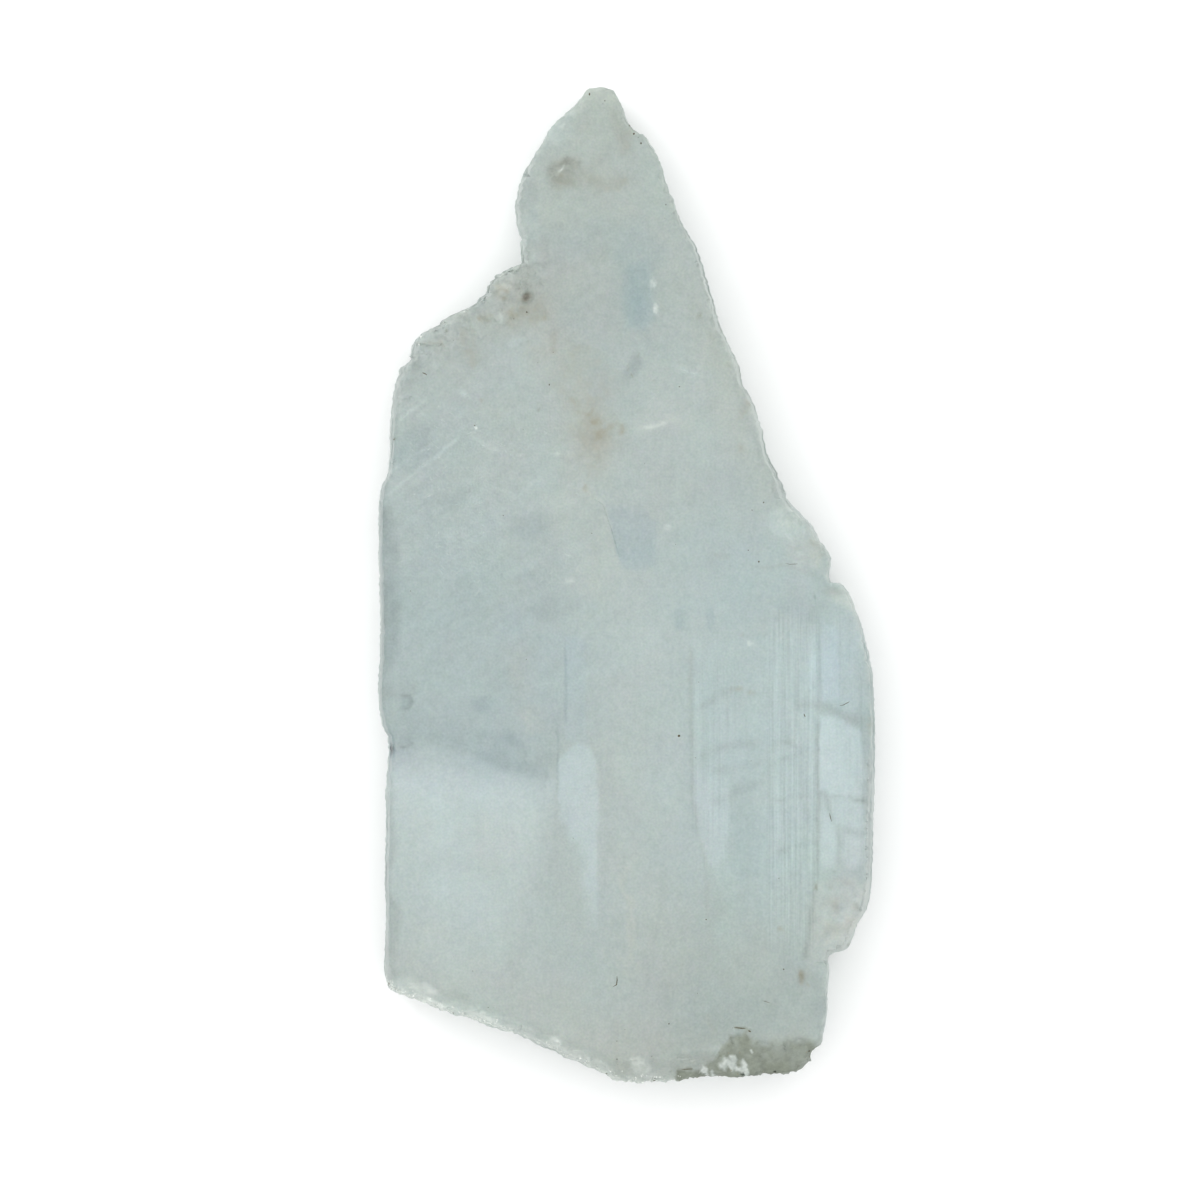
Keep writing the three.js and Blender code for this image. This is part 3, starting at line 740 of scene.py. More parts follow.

# darker creases where a leaf has bent, cracks, and pale marks, and some painted shade and painted light
# where noted: bent line, width, lift, blue
creases = [
    ([(7, -17.9), (8.8, -17.2), (11.2, -16.7), (14.4, -16.4)], 0.45, -13, -1),
    ([(7, -13.1), (8.6, -12), (10.7, -10.9), (12, -10.8)], 0.4, -12, -1),
    ([(10.6, -10.5), (12, -10.8), (13.9, -11.4)], 0.16, -10, -6),
    ([(8.4, -19.6), (12, -18.9), (14.6, -18.4)], 0.35, -11, 0),
    ([(14.8, -16.6), (16.8, -16.5), (18.8, -17.2)], 0.3, -15, -1),
    ([(15, -18.6), (17.2, -17.9), (19.2, -17.2)], 0.3, -12, 0),
    ([(8.4, -23), (11, -21.9), (13.4, -20.8), (14.6, -20.4)], 0.5, -11, 0),
    ([(15, -22.4), (17.2, -22.2), (20, -21.6)], 0.24, -14, 0),
    ([(15, -28), (17, -27.4), (19.4, -26.8)], 0.28, -14, 0), ([(15.4, -24), (17.6, -23.6)], 0.18, -5, 0),
    ([(15, -31), (17, -30.4), (19, -30.2)], 0.3, -5, 0),
    ([(21.6, -21.4), (22.8, -21.9), (24.3, -22.6), (25.7, -22.2)], 0.12, -13, 0),
    ([(21.8, -24.7), (22.9, -24.9), (25.2, -25.9)], 0.14, -14, -1),
    ([(20, -21.5), (20.7, -21.8), (21.1, -23.2), (21.4, -24.5)], 0.1, -14, 0),
    ([(17.4, -12.3), (19.6, -12.6), (21.2, -12.9), (23, -13.8), (25.4, -14.3)], 0.45, -12, -2),
    ([(21, -9.8), (22.4, -9.7)], 0.12, -9, 0), ([(15.4, -1.6), (18, -1.8), (19.6, -2.4)], 0.14, -5, 1),
    ([(12.4, 2.1), (14.6, 1.9), (16.5, 2.2), (18.4, 1.7), (20.3, 0.8)], 0.14, -8, -4),
    ([(13.4, 1.2), (16, 1), (18.6, 0.4), (20.4, -0.4)], 0.4, 4, 0),
    ([(15.6, -35.8), (16.4, -36), (17.2, -36.3)], 0.14, -8, -6),
    ([(19.9, -14), (20, -24), (19.9, -31)], 0.18, -19, -2),
    ([(19.8, -30.8), (19.45, -33.5), (18.9, -37), (18.5, -39.4)], 0.34, -17, -1),
    ([(6.75, -5.9), (6.7, -11), (6.75, -16.6), (6.9, -21.9)], 0.25, -6, -2),
    ([(6.9, -21.9), (7.4, -25.3), (8.2, -28.4), (8.5, -34.6), (8.8, -38.2)], 0.2, -4, -3),
    ([(5.2, -5.15), (7.2, -5), (9.6, -5.1)], 0.14, 5, -2),
    ([(12.2, -3.9), (13.6, -3.9), (14.8, -3.7)], 0.14, 5, 0), ([(11.9, -4.8), (12.2, -5.4)], 0.2, -8, -4),
    ([(-18.1, -29.9), (-17.2, -29.9), (-16.6, -29.5), (-15.9, -29.7), (-14.7, -29.4)], 0.14, -9, 3),
    ([(-24.6, -16.7), (-21, -15.6), (-17, -16.2), (-13, -17.6), (-9.5, -18.9), (-7.5, -19.2)], 2, -9, 5),
    ([(-16, -17.4), (-13, -18.6), (-10.4, -19.4), (-7.6, -19.7)], 0.7, -6, 4),
    ([(-24.2, -16.6), (-23.3, -16.9), (-22.4, -16.6), (-22.8, -16.1), (-23.6, -16)], 0.16, -20, 3),
    ([(-23.8, -12), (-23.3, -11.5), (-22.6, -11.6), (-22.4, -12.2), (-22.9, -12.9), (-23.6, -12.9),
     (-23.85, -12.4)], 0.22, -27, 3),
    ([(-25.9, -11.4), (-24.8, -11.3), (-23.8, -11.6)], 0.3, -8, 1),
    ([(-25.6, -14.4), (-24.9, -14.9), (-24.6, -15.8)], 0.22, -10, 1),
    ([(-24.9, 3), (-24.8, -2), (-24.7, -8.6)], 0.6, -3, 1),
    ([(-6.4, -5.5), (-6.4, -9), (-6.4, -14.8)], 0.12, -13, 6),
    ([(-6.65, -13.9), (-6.6, -14.9)], 0.2, -14, 4),
    ([(-7.25, -14.2), (-7.2, -17), (-7.25, -22)], 0.14, -14, 5),
    ([(-4.9, -12), (-4.6, -12.8), (-5.2, -13.3)], 0.2, -5, 3),
    ([(-4.7, -13.8), (-4.9, -14.6), (-5.5, -14.8)], 0.2, -5, 3),
    ([(-5.9, -11), (-5, -10.6), (-4.4, -11.3)], 0.18, -5, 2),
    ([(-24.4, -5.3), (-22.4, -4.4), (-20.4, -3.4)], 0.16, 5, 0),
    ([(-18.8, -1.6), (-16.4, -2.2), (-13.6, -1.6)], 0.2, 4, 0),
    ([(-10.6, -3.3), (-9.6, -2), (-8.2, -1.6), (-7.4, -2.8)], 0.2, 4, 0),
    ([(-5.6, -5.4), (-4.4, -5.6), (-3, -6)], 0.25, 5, -2),
    ([(-0.5, 1.8), (-1.1, 3), (-1.65, 5.4), (-2.3, 8.6), (-4.4, 10.2)], 0.22, 4, -5),
    ([(0.7, 4.4), (0.72, 3.2), (0.7, 1.9)], 0.1, -9, 4), ([(1.3, 7.4), (1.3, 5.6)], 0.09, -5, 3),
    ([(-0.5, 6.5), (0.1, 6), (0.6, 6.1), (1, 6.8)], 0.1, 8, 0),
    ([(4, 23), (5.2, 22.9), (6.1, 22.5), (7.4, 22.1), (8.8, 21.9)], 0.13, 13, 0),
    ([(1.2, 16), (2.6, 16.7), (4.4, 17.2), (6, 17.6)], 0.5, 6, -3),
    ([(0, 26.9), (2, 27.2), (4.6, 26.5)], 0.25, 4, -1), ([(0.2, 9), (3, 9.6), (6.4, 8.8)], 0.5, 3, 0),
    ([(-14.4, 26.9), (-13.2, 27.6), (-13.1, 28.8)], 0.3, 7, 2),
    ([(-13, 24.8), (-11.6, 25.6), (-10, 25.8), (-8.8, 25.4)], 0.3, 6, 3),
    ([(-20.6, 23.2), (-18.4, 23), (-16.8, 21.8)], 0.2, 6, 0),
    ([(-17.6, 20.6), (-16.8, 20.1), (-16, 19.5)], 0.16, 16, 0),
    ([(-12, 21.3), (-10.2, 21.6), (-8.6, 21.1)], 0.2, 4, 1),
    ([(-25.2, 16.2), (-22.9, 18.1), (-20.4, 20)], 0.17, 19, -1),
    ([(-24.6, 17.6), (-21.4, 19.9)], 0.16, 5, 0),
    ([(-25.2, 11.6), (-22.4, 13.5), (-19.2, 15.6)], 0.16, 15, -1),
    ([(-22.9, 12.6), (-19.5, 15.2)], 0.12, 9, 0),
    ([(-25.4, 9.3), (-22, 11.9), (-19.6, 13.8), (-17.2, 15.8)], 0.17, 18, -1),
    ([(-23.4, 11.6), (-20.2, 14.2)], 0.2, -6, 2), ([(-24.6, 9), (-21.2, 11.6), (-18.2, 14)], 0.16, 7, 0),
    ([(-22.2, 18.2), (-20.4, 17.4), (-18, 16.6)], 0.22, 12, 0),
    ([(-16.7, 16), (-14.8, 14.8), (-12.8, 13.8)], 0.2, 16, -2),
    ([(-17.8, 20.6), (-16.9, 19.9), (-16.4, 19.5)], 0.24, 20, 0),
    ([(-16.6, 15.2), (-14.6, 13.8), (-12.4, 12.2)], 0.16, 6, -1),
    ([(-13, 12.6), (-10.2, 14.4), (-7.6, 15)], 0.2, 6, -1),
    ([(-15.4, 10.6), (-12.2, 9.8), (-9.4, 7.6)], 0.2, 6, -1),
    ([(-12.4, 8.6), (-10, 10.6), (-8.2, 11.2)], 0.18, 7, -1),
    ([(-22.6, 7.4), (-19.2, 5.6), (-16.8, 3.8)], 0.2, 5, 0),
    ([(-20.4, 2.4), (-17, 4.6), (-14.4, 5.2)], 0.2, 5, 0),
    ([(-9.4, 6), (-7.2, 8.2), (-5.2, 9.2)], 0.2, 6, -2),
    ([(-14.2, 17.8), (-11.4, 18.6), (-9.6, 20.2)], 0.2, 5, -1),
    ([(-24.2, 5.6), (-21, 7.9), (-18.6, 9)], 0.14, 4, 0),
    ([(-6.2, 35.6), (-6.1, 33.5), (-6, 32.2)], 0.12, 6, 1),
    ([(-7.4, 31.4), (-6.4, 32.2), (-5.6, 33)], 0.12, 5, 0),
    ([(-8.6, 37.2), (-8.4, 35.4), (-8.5, 33.2)], 0.3, -6, -3),
    ([(14.7, 7), (15.6, 7.9), (17.2, 8.1), (18.4, 7.2)], 0.16, 7, 0),
    ([(14.8, 6.2), (16.2, 5.1), (18, 5), (19, 5.6)], 0.16, 7, -2),
    ([(15.6, 6.9), (17, 7.2), (18.4, 6.4)], 0.12, -6, -2), ([(15.8, 6.2), (17.4, 6.2)], 0.12, -5, -2),
    ([(16.3, 4.4), (18, 3.8), (19.8, 4.4)], 0.18, -7, -4),
    ([(16, 3.4), (18, 2.8), (20.2, 3.2)], 0.16, -6, -3),
    ([(-7.6, 27.4), (-7.5, 25.6), (-7.6, 24.2)], 0.25, -6, -5), ([(1.1, 25), (0.9, 24.3)], 0.13, -9, 3),
    ([(3.1, 25.2), (3, 24.3)], 0.1, -7, 3), ([(3.6, 25), (3.6, 24)], 0.1, -7, 2),
    ([(2.4, 24.8), (2.3, 24)], 0.1, -5, 2), ([(-3.2, 38.4), (-3.1, 37)], 0.1, -4, 3),
    ([(-1.6, 38), (-1.6, 36.6)], 0.1, -4, 3), ([(-4.8, 37.4), (-4.8, 36)], 0.1, -4, 3),
    ([(0.6, 33.8), (0.5, 29)], 0.1, -4, 3), ([(1.2, 33.4), (1.15, 28)], 0.08, -4, 2),
    ([(2, 33.6), (2, 31)], 0.08, -4, 2), ([(5.2, -2.4), (5.2, -4.6)], 0.12, -5, 3),
    ([(6.3, -2.2), (6.3, -4.4)], 0.12, -5, 3), ([(8.4, -2.6), (8.4, -4.4)], 0.1, -6, 3),
    ([(9, -2.4), (9, -4.2)], 0.1, -5, 3), ([(8.35, -20.4), (8.15, -22)], 0.1, -9, 0),
    ([(8.2, -44.2), (8.6, -45.8), (9.6, -47.2)], 0.25, -5, -5),
    ([(14.1, -43.4), (15, -43.7), (16.1, -43.7)], 0.14, -6, -4),
    ([(-1.05, -44), (-1.1, -47.8), (-1, -51)], 0.14, -4, -3),
    # the next two lines: painted shade and brown dirt in the nook's hollow
    ([(-11.2, 29.7), (-10.5, 30.2), (-9.9, 30.7)], 0.26, -22, -14),
    ([(-10.9, 30.8), (-10.4, 30.1), (-10.3, 29.5)], 0.24, -20, -12),
    ([(-10.6, 28.7), (-10.2, 28.4)], 0.3, -16, -8), ([(-12.3, 28.2), (-11.6, 27.9)], 0.3, -12, -8),
    ([(-14.9, 28.3), (-14.3, 28)], 0.3, -10, -7),
    ([(-13.4, 30.3), (-12.6, 30), (-12.2, 29.2)], 0.2, -8, -6),
    ([(-25.4, 8), (-25.3, -2), (-25.5, -9)], 0.2, -8, 0),
    ([(-24.7, 1), (-24.5, -5), (-24.6, -10)], 0.2, -4, 2), ([(9.9, 25.6), (10.6, 25.2)], 0.3, -10, -5),
    ([(11, 24.2), (11.5, 23.4)], 0.3, -9, -5), ([(7.2, 28), (8, 28.25)], 0.2, -18, -6),
    ([(8.4, 26.4), (9.3, 26.2)], 0.3, -9, -5), ([(5, 30.6), (5.8, 31.2)], 0.3, -5, -2),
    ([(11.6, 21.8), (12.2, 21.2)], 0.3, -7, -4), ([(-8.1, 47.2), (-6.9, 48.9), (-5.4, 50.4)], 0.6, 7, 1),
    ([(-7.4, 46.4), (-6.6, 47.6)], 0.2, -7, 0), ([(-7, 49.4), (-6.2, 49)], 0.14, 9, 0),
    # painted light along the top of the clay break's slope, which shades darker
    ([(2.6, -49.35), (6.5, -48.95), (10.4, -48.5)], 0.5, 14, 0),
    # painted light along the line above the oblique rim, lifting the bevel's shading
    ([(-24.8, -41.2), (-18.5, -43.2), (-12.5, -45.4), (-6.5, -48.2), (-3, -50)], 0.7, 7, 0),
    ([(20.2, -29.9), (21.4, -29.6), (22.4, -30)], 0.2, -10, -3),
    ([(20.6, -31.3), (22, -30.7), (23.8, -31.4)], 0.2, -13, -4),
    ([(21.2, -33.2), (22.6, -33.8), (23.4, -35.4)], 0.2, -12, -3),
    ([(23.5, -30.2), (24.5, -31.8), (24.2, -33.6)], 0.3, 10, -2),
    ([(20, -34.8), (21.3, -36.2)], 0.3, 9, -2),
    ([(20.4, -37.5), (22, -36.7), (23.2, -37.2)], 0.25, 11, -3),
    ([(21.8, -32), (22, -34.4)], 0.16, -10, -3), ([(20.6, -35.6), (20.9, -37)], 0.16, -10, -3),
    ([(23.2, -26.2), (23.3, -29)], 0.16, -9, -1), ([(20.9, -26.2), (20.8, -29.2)], 0.14, -7, -1),
    ([(21.2, -14.6), (21.1, -18.4)], 0.12, -7, 0), ([(22.9, -16.6), (23.1, -20.6)], 0.12, -7, 0),
    ([(20.4, -18.8), (21.8, -18.4), (23.4, -18.9)], 0.12, -5, 0),
    # the next four lines are the pit's dark crescent: painted shade under its steep upper wall, with brown
    # dirt along it
    ([(-8, 42.7), (-7.85, 43.6), (-7.2, 44.3), (-6.3, 44.65), (-5.3, 44.5), (-4.4, 43.9)], 0.46, -22, -5),
    ([(-7.4, 44.1), (-6.5, 44.5), (-5.5, 44.4)], 0.28, -8, -3),
    ([(-7.8, 43.7), (-7.6, 43.2)], 0.2, -10, -2),
    ([(-6.2, 44.2), (-5.2, 43.9), (-4.6, 43.6)], 0.3, -8, -5),
    ([(-21.5, -42.9), (-18.5, -43.6), (-15.5, -44.6)], 0.6, 12, 0),
    ([(-20, -44.2), (-15, -45.8), (-10, -47.5), (-5, -49.9)], 0.7, 7, 0),
    ([(-24.8, -42), (-22, -43), (-18.4, -43.9)], 0.16, -9, 0),
    ([(-19, -44.2), (-17.8, -45), (-16.4, -45.2)], 0.18, -9, 0),
    ([(-13, -46.6), (-11.8, -46.8), (-10.6, -47.3)], 0.2, -6, 0),
    # painted light over the oblique bevel, which faces away from the lamps and would render darker
    ([(-26, -42.6), (-18, -45.6), (-12, -47.7), (-6, -50.4), (-2, -52.2), (5.5, -52.6)], 2.4, 17, 0),
]

# rust is iron stain and clay is dried mud and dirt in the breaks: bent line, width, amount from 0 to 1
rusts = [
    ([(-3.5, 14.9), (-3, 15.7), (-2.5, 16.4)], 1, 0.6),
    ([(-3.3, 15.6), (-2.7, 16.1), (-2.3, 16.5)], 0.5, 0.8),
    ([(-5.4, 19.1), (-4.6, 18.2), (-3.5, 17.4), (-2.4, 16.9)], 0.25, 0.45),
    ([(-3.9, 16.6), (-5, 16)], 0.9, 0.3), ([(-2.6, 16), (-1.4, 16.7), (-0.7, 16.9)], 0.4, 0.5),
    ([(-0.6, 16.9), (-0.5, 16.4), (-0.8, 15.8)], 0.3, 0.55),
    ([(-2.6, 16.5), (-3.4, 17.2), (-4.2, 18)], 0.7, 0.6),
    ([(-4.2, 18), (-5.4, 19.1), (-6.2, 19.8)], 0.45, 0.5),
    ([(-3.2, 15.6), (-3.6, 12.8), (-3, 10.8)], 1.2, 0.2), ([(-4.6, 16.6), (-4, 14.4)], 1, 0.25),
    ([(-6.6, 20), (-5.4, 23), (-4.6, 25.2)], 2.2, 0.2),
    ([(-5.2, 15.4), (-3.6, 19.6), (-2, 23)], 2.2, 0.18),
    ([(-15.3, 27.7), (-14.6, 28.1), (-14, 28.5)], 0.5, 0.6), ([(-17.4, 26.4), (-16.2, 26.8)], 0.8, 0.3),
    ([(-14, 31.4), (-13, 31.3), (-12.3, 30.9)], 0.4, 0.45),
    ([(-15, 31.6), (-14, 30.8), (-12.6, 30)], 0.35, 0.4),
    ([(-12.2, 29), (-11.9, 28), (-12.6, 27.2)], 0.55, 0.45),
    ([(-11.4, 28.6), (-9.6, 27.9), (-8.4, 28.3)], 0.9, 0.4), ([(-9.6, 29.4), (-8.6, 28.8)], 0.8, 0.25),
    ([(-17, 26.4), (-16.2, 24.6), (-16, 22.9)], 0.9, 0.28),
    ([(-22.2, 25.4), (-20.9, 25.4), (-19.8, 25.3)], 0.2, 0.25),
    ([(-19.9, 25.2), (-19.2, 25.3)], 0.4, 0.6), ([(-7.7, 26.2), (-7.7, 24.2)], 0.4, 0.4),
    ([(-15.3, 19.6), (-15.2, 19)], 0.18, 0.5), ([(-4.5, 10.4), (-4.1, 9.9)], 0.35, 0.3),
    ([(12.9, 19.5), (12.2, 18.4), (11.8, 17.3)], 0.4, 0.35), ([(12.1, 14.9), (11.9, 13.8)], 0.3, 0.35),
    ([(-7.2, 42.9), (-6.6, 42.2), (-5.7, 42.6)], 0.6, 0.34),
    ([(-5, 43.6), (-3.4, 42.4), (-2.2, 41.9)], 0.7, 0.2),
    ([(-2.2, 41.9), (-1, 41.9), (0, 42.6)], 0.5, 0.24), ([(0.5, 48.2), (0.1, 47), (0, 45.2)], 0.7, 0.24),
    ([(18.3, -40.3), (18.35, -41.4)], 0.3, 1), ([(18.5, -40.2), (18.3, -41.8)], 0.6, 0.35),
    ([(18.7, -41.6), (19.2, -41.9)], 0.2, 0.4), ([(21, -31.5), (21.8, -31.4)], 0.22, 0.25),
    ([(25.4, -13.6), (25.7, -15.6)], 0.4, 0.4), ([(12, -5), (12.2, -5.3)], 0.25, 0.35),
    ([(10.8, -10.6), (13.7, -11.3)], 0.12, 0.35), ([(9.2, 3.1), (9.9, 2.95), (10.7, 3.1)], 0.16, 0.5),
    ([(6.7, -7), (6.72, -16)], 0.35, 0.08), ([(15.7, -35.8), (16.9, -36.2)], 0.12, 0.4),
    ([(19.2, 5), (20.4, 4.2), (20.6, 3)], 0.5, 0.3),
]
clays = [
    ([(19.75, -30.9), (19.68, -32)], 0.2, 0.9), ([(23.9, -33), (24.2, -33.8)], 0.3, 0.5),
    ([(23.1, -37.4), (23.5, -37.8)], 0.3, 0.45), ([(7.2, 28), (7.9, 28.25)], 0.24, 0.75),
    ([(8.5, 26.2), (9.2, 26.1)], 0.35, 0.35), ([(10.3, 23.2), (11, 22.9)], 0.35, 0.35),
    ([(8.6, -34.8), (8.4, -35.1)], 0.18, 0.6), ([(21, -31.5), (21.6, -31.4)], 0.16, 0.4),
    ([(9.9, 25.5), (10.6, 25.3)], 0.25, 0.25), ([(-10.5, 28.6), (-10.2, 28.4)], 0.22, 0.45),
    ([(-12.2, 27.8), (-11.7, 28.2)], 0.25, 0.6), ([(-19.1, 26.8), (-18.6, 26.6)], 0.16, 0.9),
    ([(-14.9, 28.3), (-14.5, 28)], 0.25, 0.6), ([(-22.15, 24.1), (-22.1, 23)], 0.2, 0.5),
    ([(-9.2, 19), (-9.1, 18.4), (-9.3, 18)], 0.14, 0.6), ([(-24.35, 15.45), (-24.25, 15.2)], 0.22, 0.8),
    ([(-7.8, 43.3), (-7.3, 44.2), (-6.2, 44.55), (-5, 44.2)], 0.25, 0.3),
    ([(0.5, 22.2), (0.75, 21.8)], 0.2, 0.6), ([(1.2, 24.3), (1.3, 23.8)], 0.16, 0.5),
    ([(0.3, 23.4), (0.1, 22.4)], 0.16, 0.4), ([(2.6, 21.4), (3.1, 21.2)], 0.2, 0.4),
    ([(11.2, -46.2), (12.3, -46.3), (13, -46.6)], 0.16, 1.2), ([(5.6, -50.7), (6.9, -50.6)], 0.2, 1.2),
    ([(7.8, -49.9), (9.2, -49.5), (10.2, -48.4)], 0.35, 0.7), ([(2.7, -51.6), (3, -52.2)], 0.3, 0.6),
    ([(10.5, -47.5), (11.4, -47.7)], 0.25, 0.5), ([(18.28, -40.5), (18.35, -41.1)], 0.16, 0.7),
    ([(-25.3, -41.9), (-24.9, -42.1)], 0.16, 1), ([(0.1, 48.9), (0.5, 48.2), (1, 47.6)], 0.16, 0.7),
    ([(1.2, 47.3), (1.6, 46.5)], 0.16, 0.6),
]
# clear of mud: splinters of fresh white crystal that show through it
freshChips = [
    ((11.2, -50.1), (1.25, 0.75), -35), ((12.4, -50.6), (0.35, 0.8), 10),
    ((8.1, -50.9), (0.6, 0.35), -65), ((9, -51.1), (0.22, 0.5), 10), ((13.2, -48.6), (0.3, 0.25), 0),
]
# granular places: middle, half width and half height, turn, amount
roughGround = [
    ((11, 23.5), (1.6, 6), 24, 0.8), ((-20.5, 22), (3.2, 2.6), 30, 0.5), ((-8, 26), (2.4, 3.2), 0, 0.5),
    ((22.4, -35.2), (2.8, 4.4), 0, 3), ((-6.8, 48.4), (2.2, 1), 48, 1), ((-5.2, -11.5), (1.2, 5), 0, 0.4),
    ((-10.2, 38.5), (1.4, 3.4), 0, 0.6), ((-14, -16), (6, 1.8), -14, 0.35),
    ((18.6, 3), (2.4, 2.4), 0, 0.5), ((2.4, 24.4), (2, 1.6), 0, 0.6),
    ((-24.4, -14.4), (1.2, 3.6), 0, 0.8), ((-6.2, 43.2), (2.2, 1.8), -12, 0.4),
    ((-13, 9), (8, 4), 20, 0.3), ((22.8, -23), (3, 8), 0, 0.5), ((-3.4, 15.8), (2.6, 3), 0, 0.4),
    ((12, -49), (6, 2), 0, 0.3),
]


def slabTones(x, y):
    wx = x + 0.9 * plainNoise(x, y, 3.1, 3.1, 41) + 0.35 * plainNoise(x, y, 1.1, 1.1, 42)
    wy = y + 0.9 * plainNoise(x, y, 3.1, 3.1, 43) + 0.35 * plainNoise(x, y, 1.1, 1.1, 44)
    ex, ey = x + 0.12 * plainNoise(x, y, 0.9, 0.9, 45), y + 0.12 * plainNoise(x, y, 0.9, 0.9, 46)
    slant = x + 0.7 * y, y - 0.7 * x
    swept = (1 - smoothStep(x, -4, 3)) * smoothStep(y, -18, -8)   # worn slantwise, up and to the right
    lift = 2.0 * plainNoise(x, y, 2.4, 2.4, 50) + 1.6 * plainNoise(x, y, 1.1, 1.3, 52)
    lift += (3.2 * swept * plainNoise(*slant, 3.6, 0.7, 55)
             + 1.4 * (1 - swept) * plainNoise(x, y, 0.5, 3.0, 56))
    lift += (1.8 * swept * plainNoise(*slant, 2.4, 0.5, 60)
             + 1.6 * swept * plainNoise(x - 0.6 * y, y + 0.6 * x, 2.2, 0.5, 63))
    blue = 1.8 * plainNoise(x, y, 2.9, 3.6, 53) + 1.4 * plainNoise(x, y, 0.8, 0.8, 64)
    lilac = 1.4 * plainNoise(x, y, 2.6, 3.4, 57) + 0.8 * plainNoise(x, y, 0.9, 0.9, 58) - 0.3
    broken = np.exp(-(lineFrame(x, y, shoulderRim)[0] / 3.2) ** 2)
    rough = broken.copy()
    for at, size, turn, amount in roughGround:
        rough = np.maximum(rough, amount * softPatch(wx, wy, at, size, turn))
    lift += rough * (4 * plainNoise(x, y, 0.45, 0.45, 65) + 4.5 * plainNoise(x, y, 1.0, 1.0, 66))
    lift += broken * (5 * facetNoise(x, y, 1.1, 67) + 3 * plainNoise(x, y, 0.4, 0.4, 69))
    blue -= rough * (1.0 + 3.0 * plainNoise(x, y, 0.7, 0.7, 68))
    for _, at, size, turn, lifted, blued in tones:
        small = max(size) < 1.3
        mask = softPatch(ex if small else wx, ey if small else wy, at, size, turn)
        lift += lifted * mask
        blue += blued * mask
    for name, edge, lifted, blued, lilacked, fade, ring in fields:
        mask = softPolygon(ex, ey, ring, edge)
        if fade:
            mask *= smoothStep(wy, *fade)
        if name == "tongue":
            mask *= smoothStep(lineFrame(wx, wy, tongueMelt)[1], -0.6, 1.0)
        lift += lifted * mask
        blue += blued * mask
        lilac += lilacked * mask
    for across, width, lifted, top, bottom in stripes:
        worn = 0.75 + 0.4 * plainNoise(x, y, 0.6, 4.0, 47)
        bent = x + 0.04 * plainNoise(x, y, 9, 6, 48)
        mask = softLine(bent, y, [(across, bottom), (across, top)], width, 2.0)
        lift += 1.3 * lifted * worn * mask
    for line, width, lifted, blued in creases:
        wide = width > 0.8
        mask = softLine(wx if wide else ex, wy if wide else ey, line, width)
        lift += lifted * mask * (0.9 + 0.4 * plainNoise(x, y, 0.9, 0.9, 49))
        blue += blued * mask
    return lift, blue, lilac


def stainAmount(x, y, stains):
    amount = np.zeros(x.shape)
    patchy = 0.8 + 0.6 * plainNoise(x, y, 0.5, 0.5, 71) + 0.3 * plainNoise(x, y, 1.6, 1.6, 72)
    for line, width, most in stains:
        shaken = 0.5 * min(width, 0.8)
        sx, sy = (shaken * plainNoise(x, y, 0.7, 0.7, seed) for seed in (73, 77))
        mask = softLine(x + sx, y + sy, line, width, 0.1)
        amount = np.maximum(amount, most * mask * patchy)
    return np.clip(amount, 0, 1)


def clayAmount(x, y):
    ex = x + 0.35 * plainNoise(x, y, 0.9, 0.9, 74) + 0.16 * plainNoise(x, y, 0.4, 0.4, 87)
    ey = y + 0.35 * plainNoise(x, y, 0.9, 0.9, 75) + 0.16 * plainNoise(x, y, 0.4, 0.4, 88)
    worn = 0.96 + 0.16 * plainNoise(x, y, 1.5, 1.5, 76) + 0.14 * plainNoise(x, y, 0.6, 0.6, 78)
    mud = softPolygon(ex, ey, clayRing, 0.6 + 1.4 * smoothStep(x, 12.5, 15)) * worn
    smeared = 0.26 * softPolygon(ex, ey, clayRing, 3.4) * (1 + 0.6 * plainNoise(x, y, 1.1, 1.1, 89))
    mud = np.maximum(mud, smeared)
    rightThin = 1 - 0.15 * smoothStep(x, 12.5, 15) * smoothStep(y, -51.0, -49.0)
    fresh = np.zeros(x.shape)
    for at, size, turn in freshChips:
        fresh = np.maximum(fresh, softPatch(ex, ey, at, size, turn))
    fresh = smoothStep(fresh + 0.5 * plainNoise(x + 0.5 * y, y - 0.5 * x, 0.3, 1.0, 79), 0.42, 0.85)
    return np.clip(np.maximum(mud * rightThin * (1 - fresh), stainAmount(x, y, clays)), 0, 1), fresh


